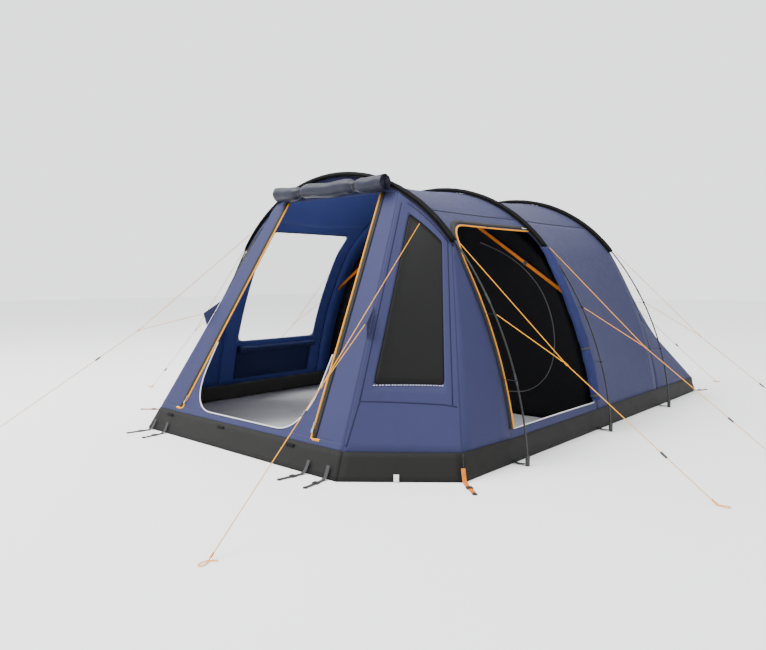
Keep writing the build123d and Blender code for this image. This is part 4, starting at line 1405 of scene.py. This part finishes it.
@dataclass
class Base(Maker):
    """Mud band round the foot and the groundsheet."""

    floor_gap: float = 0.007
    vents: tuple = (-0.80, -0.17, 0.55)

    def build(self) -> None:
        """Make them."""
        s = self.shape
        top = s.band - 0.0015

        def wave(x: float, y: float, z: float) -> float:
            """How far the band's cloth stands off."""
            return 0.003 + 0.002 * ripple(x, y, z * 2, 5.0)
        front = grid(lambda u, v: s.face((2 * u - 1) * (s.edge(top * v) + 0.0025), top * v,
                                         wave(2 * u, 0, v)), 60, 5)
        out = Vector((*s.corner_out[:2], 0.0))
        push = out * 0.003
        chamfer = grid(lambda u, v: tuple(Vector(s.corner_at(u, max(0.0005, top * v))) + push), 14, 5)
        rear = grid(lambda u, v: tuple(Vector(s.rear_line((s.base - 0.001) * (1 - 2 * u), top * v))
                                       + Vector((0, 0.003, 0))), 60, 5)

        def side(u: float, v: float) -> Point:
            """Point along the side and up."""
            z = top * v
            p = Vector(s.corner_at(1.0, max(0.0005, z)))
            knots = [(p.x, p.y), (s.half(z), s.hoops[0]), (s.half(z), s.hoops[2] + 0.005),
                     (s.base - 0.004, s.rear - 0.006 - s.rear_slope * z)]
            y = knots[0][1] + (knots[-1][1] - knots[0][1]) * u
            for a, b in zip(knots, knots[1:]):
                if y <= b[1] + 1e-9:
                    share = (y - a[1]) / (b[1] - a[1])
                    x = a[0] + (b[0] - a[0]) * share
                    return x + wave(y, 0, v), y, z
            return knots[-1][0], y, z
        flank = grid(side, 120, 5)
        parts = [facing(p, d) for p, d in ((front, (0, -1, 0)), (chamfer, (1, -1, 0)), (flank, (1, 0, 0)),
                                           (rear, (0, 1, 0)))]
        parts += [facing(mirror(parts[1]), (-1, -1, 0)), facing(mirror(parts[2]), (-1, 0, 0))]
        vents = []
        for x in self.vents:
            line = [Vector(s.face(x + (i / 4 - 0.5) * 0.075, 0.118, 0.0075)) for i in range(5)]
            vents.append(facing(tape(line, 0.020, [Vector((0, -1, 0.56))] * 5, 0.001), (0, -1, 0.5)))
        piece("band_vents", *join(vents), Finish.SLEEVE, slot="black_webbing", thickness=0.0006)
        root = Vector(s.corner_at(0.47, 0.012)) + out * 0.006
        hang = [root + out * 0.018 * t + Vector((0, 0, 0.030 - 0.040 * t))
                for t in (0.0, 0.35, 0.7, 1.0)]
        label = facing(tape(hang, 0.030, [out + Vector((0, 0, 0.2))] * 4), (0.6, -0.7, 0))
        piece("base_label", *label, Finish.LABEL, slot="fly_cloth", thickness=0.0006)
        whole = join(parts)
        made = piece("mud_band_cloth", *whole, Finish.MUD, ["mud_band"], thickness=self.cloth,
                     inside=Finish.TUB)
        round(area_of(whole), 3)

        def floor(u: float, v: float) -> Point:
            """Point of the wrinkled groundsheet."""
            y = s.front + self.floor_gap + (s.rear - 0.014 - s.front - self.floor_gap) * u
            share = min(1.0, (y - s.front) / s.cut_back)
            half = s.front_half + (s.base - s.front_half) * share - self.floor_gap
            x = (2 * v - 1) * half
            ridge = abs(ripple(x * 1.1, y * 0.8, 0, 2.2)) + 0.4 * abs(ripple(x, y, 3, 7.0))
            return x, y, 0.0022 + 0.010 * max(0.0, 0.42 - ridge)
        self.panel("groundsheet_cloth", grid(floor, 130, 90), Finish.FLOOR, ["groundsheet"], (3.1, 4.46),
                   "laid", slot="floor_cloth", towards=(0, 0, 1), thickness=0.001)


@dataclass
class Bedroom(Maker):
    """Inner tent hung inside the rear bays, its front door and zip."""

    inset: float = 0.095
    start: float = 0.060
    floor_z: float = 0.012
    draw: float = 0.93
    zip_line: tuple = ((-0.330, 0.185), (0.250, 0.185), (0.810, 0.185), (0.960, 0.225), (1.075, 0.320),
                       (1.140, 0.450), (1.160, 0.620), (1.130, 0.820), (1.040, 1.030), (0.894, 1.194),
                       (0.700, 1.330), (0.450, 1.430))

    def arch(self) -> list[Pair]:
        """Inner tent's hoop line from the right foot over to the left."""
        s = self.shape
        low = [self.floor_z + (1.15 - self.floor_z) * i / 10 for i in range(11)]
        right = [(s.half(z, self.inset), z) for z in low]
        over = [s.arc(s.turn * (1 - 2 * i / 30), s.inset + self.inset) for i in range(31)]
        return right + over + [(-x, z) for x, z in reversed(right)]

    def build(self) -> None:
        """Make it."""
        s, arch = self.shape, self.arch()
        last = len(arch) - 1
        end = s.rear - 0.150
        slope_y = s.rear - (s.rear - s.hoops[2]) * 0.28 - 0.150

        def shell(u: float, v: float) -> Point:
            """Point along the bedroom and over the arch."""
            x, z = arch[round(v * last)]
            if u <= 0.5:
                y = self.start + 0.006 + (s.hoops[2] - self.start - 0.006) * u / 0.5
                return x, y, z
            t = (u - 0.5) / 0.5
            down = 1 - 0.72 * t
            return (x * (1 + (self.draw - 1) * t), s.hoops[2] + (slope_y - s.hoops[2]) * t,
                    self.floor_z + (z - self.floor_z) * down)

        def back(u: float, v: float) -> Point:
            """Point of the low rear wall."""
            x, z = arch[round(v * last)]
            return (x * self.draw, slope_y + (end - slope_y) * u,
                    self.floor_z + (z - self.floor_z) * 0.28 * (1 - u * 0.75))

        def front(u: float, v: float) -> Point:
            """Point across and up the bedroom's front."""
            z = self.floor_z + (s.height - s.inset - self.inset - 0.001 - self.floor_z) * v
            half = s.half(z, self.inset) if z < 1.30 else s.arc(s.angle(z, s.inset + self.inset),
                                                                s.inset + self.inset)[0]
            x = (2 * u - 1) * half * 0.998
            return x, self.start + 0.003 - 0.004 * ripple(x, z, 0, 2.5), z
        smooth = [Vector((x, self.start - 0.003, z)) for x, z in self.zip_line]
        for _ in range(3):
            cut = [smooth[0]]
            for a, b in zip(smooth, smooth[1:]):
                cut += [a.lerp(b, 0.25), a.lerp(b, 0.75)]
            smooth = cut + [smooth[-1]]
        out = Vector((0, -1, 0))
        chain = zipper(smooth, [out] * len(smooth), 0.009, 0.0005, 0.0018, 0.0015)
        zips = piece("bedroom_door_zip", *chain, Finish.GREY_ZIP, ["bedroom_zip"], thickness=0.0008)
        self.panel("bedroom_shell", grid(shell, 24, last), Finish.INNER, ["bedroom_canopy"], (5.3, 2.2),
                   "hung")
        self.panel("bedroom_back", grid(back, 4, last), Finish.INNER, ["bedroom_canopy"], (4.2, 0.42),
                   "hung", towards=(0, 1, 1))
        self.panel("bedroom_front_cloth", grid(front, 50, 40), Finish.INNER, ["bedroom_front"], (3.0, 1.8),
                   "hung", trims=[zips], towards=(0, -1, 0))
        floor = grid(lambda u, v: ((2 * u - 1) * (s.half(0) - self.inset), self.start + 0.006
                                   + (end - 0.014 - self.start) * v, 0.006
                                   + 0.004 * abs(ripple(u * 3, v * 3, 0, 3.0))), 40, 40)
        self.panel("bedroom_floor_cloth", floor, Finish.INNER, ["bedroom_floor"], (2.92, 2.04), "laid",
                   slot="inner_floor", towards=(0, 0, 1))


@dataclass
class Straps(Maker):
    """Peg and foot straps at the base, and the tension straps under the middle hoop."""

    width: float = 0.025
    ring: float = 0.0145
    lift: float = 0.0042

    def peg(self, root: Point, tip: Point) -> list[Point]:
        """Strap's line from high on the band, down to the ground and out to its ring."""
        a, b = Vector(root), Vector(tip)
        along = (b - a).normalized()
        up = Vector((0, 0, self.lift))
        return [tuple(a - along * 0.020 + Vector((0, 0, 0.075))), tuple(a - along * 0.008
                + Vector((0, 0, 0.045))), tuple(a + along * 0.010 + Vector((0, 0, 0.014))),
                tuple(a + along * 0.035 + up), tuple(a + (b - a) * 0.5 + up),
                tuple(b - along * self.ring + up)]

    def build(self) -> None:
        """Make them."""
        s = self.shape
        front, corner = s.front, s.front + s.cut_back
        grey = [self.peg((0.935, front - 0.004, 0), (0.964, front - 0.187, 0)),
                self.peg((0.765, front - 0.004, 0), (0.746, front - 0.187, 0))]
        orange = [self.peg((s.base + 0.004, corner - 0.004, 0), (1.7117, -1.8804, 0)),
                  self.peg((s.base - 0.010, s.rear + 0.004, 0), (1.610, 2.430, 0))]
        feet = [[(s.half(0) + 0.003, y, 0.010), (s.half(0) + 0.04, y, 0.006), (1.633, y, 0.010)]
                for y in s.hoops]
        tension = [[(1.250, s.hoops[1] + 0.028, 1.010), (0.045, s.hoops[1] + 0.028, 1.832)]]

        def both(lines: list) -> list:
            """The lines and their twins on the left."""
            return lines + [[(-x, y, z) for x, y, z in line] for line in lines]
        self.strap("peg_straps", both(grey), self.width, [(0, -0.5, 0.85)] * 4, Finish.GREY,
                   ["webbing_straps"])
        self.strap("foot_straps", both(feet), self.width, [(0, 0, 1)] * 6, Finish.BLACK_WEB,
                   ["webbing_straps"], slot="black_webbing")
        self.strap("corner_straps", both(orange), self.width,
                   [(0.3, -0.3, 0.9), (0.05, 0.4, 0.9), (-0.3, -0.3, 0.9), (-0.05, 0.4, 0.9)], Finish.ORANGE,
                   ["orange_straps"])
        # Tension straps in the orange darkened to its shaded colour (painted shade).
        self.strap("tension_straps", both(tension), self.width, [(0, -1, 0)] * 2, Finish.ORANGE,
                   ["orange_straps"])


def main() -> None:
    """Build the tent in order."""
    logging.basicConfig(level=logging.INFO, format="%(name)s %(message)s")
    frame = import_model()
    shape = Shape()
    Studio().camera()
    Guylines(shape).build()
    Poles(shape).build(frame["nodes"])
    Front(shape).build()
    Corners(shape).build()
    Canopy(shape).build()
    SideDoor(shape).build()
    Rear(shape).build()
    Base(shape).build()
    Bedroom(shape).build()
    Straps(shape).build()
    Studio().lights()
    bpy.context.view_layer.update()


if __name__ == "__main__":
    main()
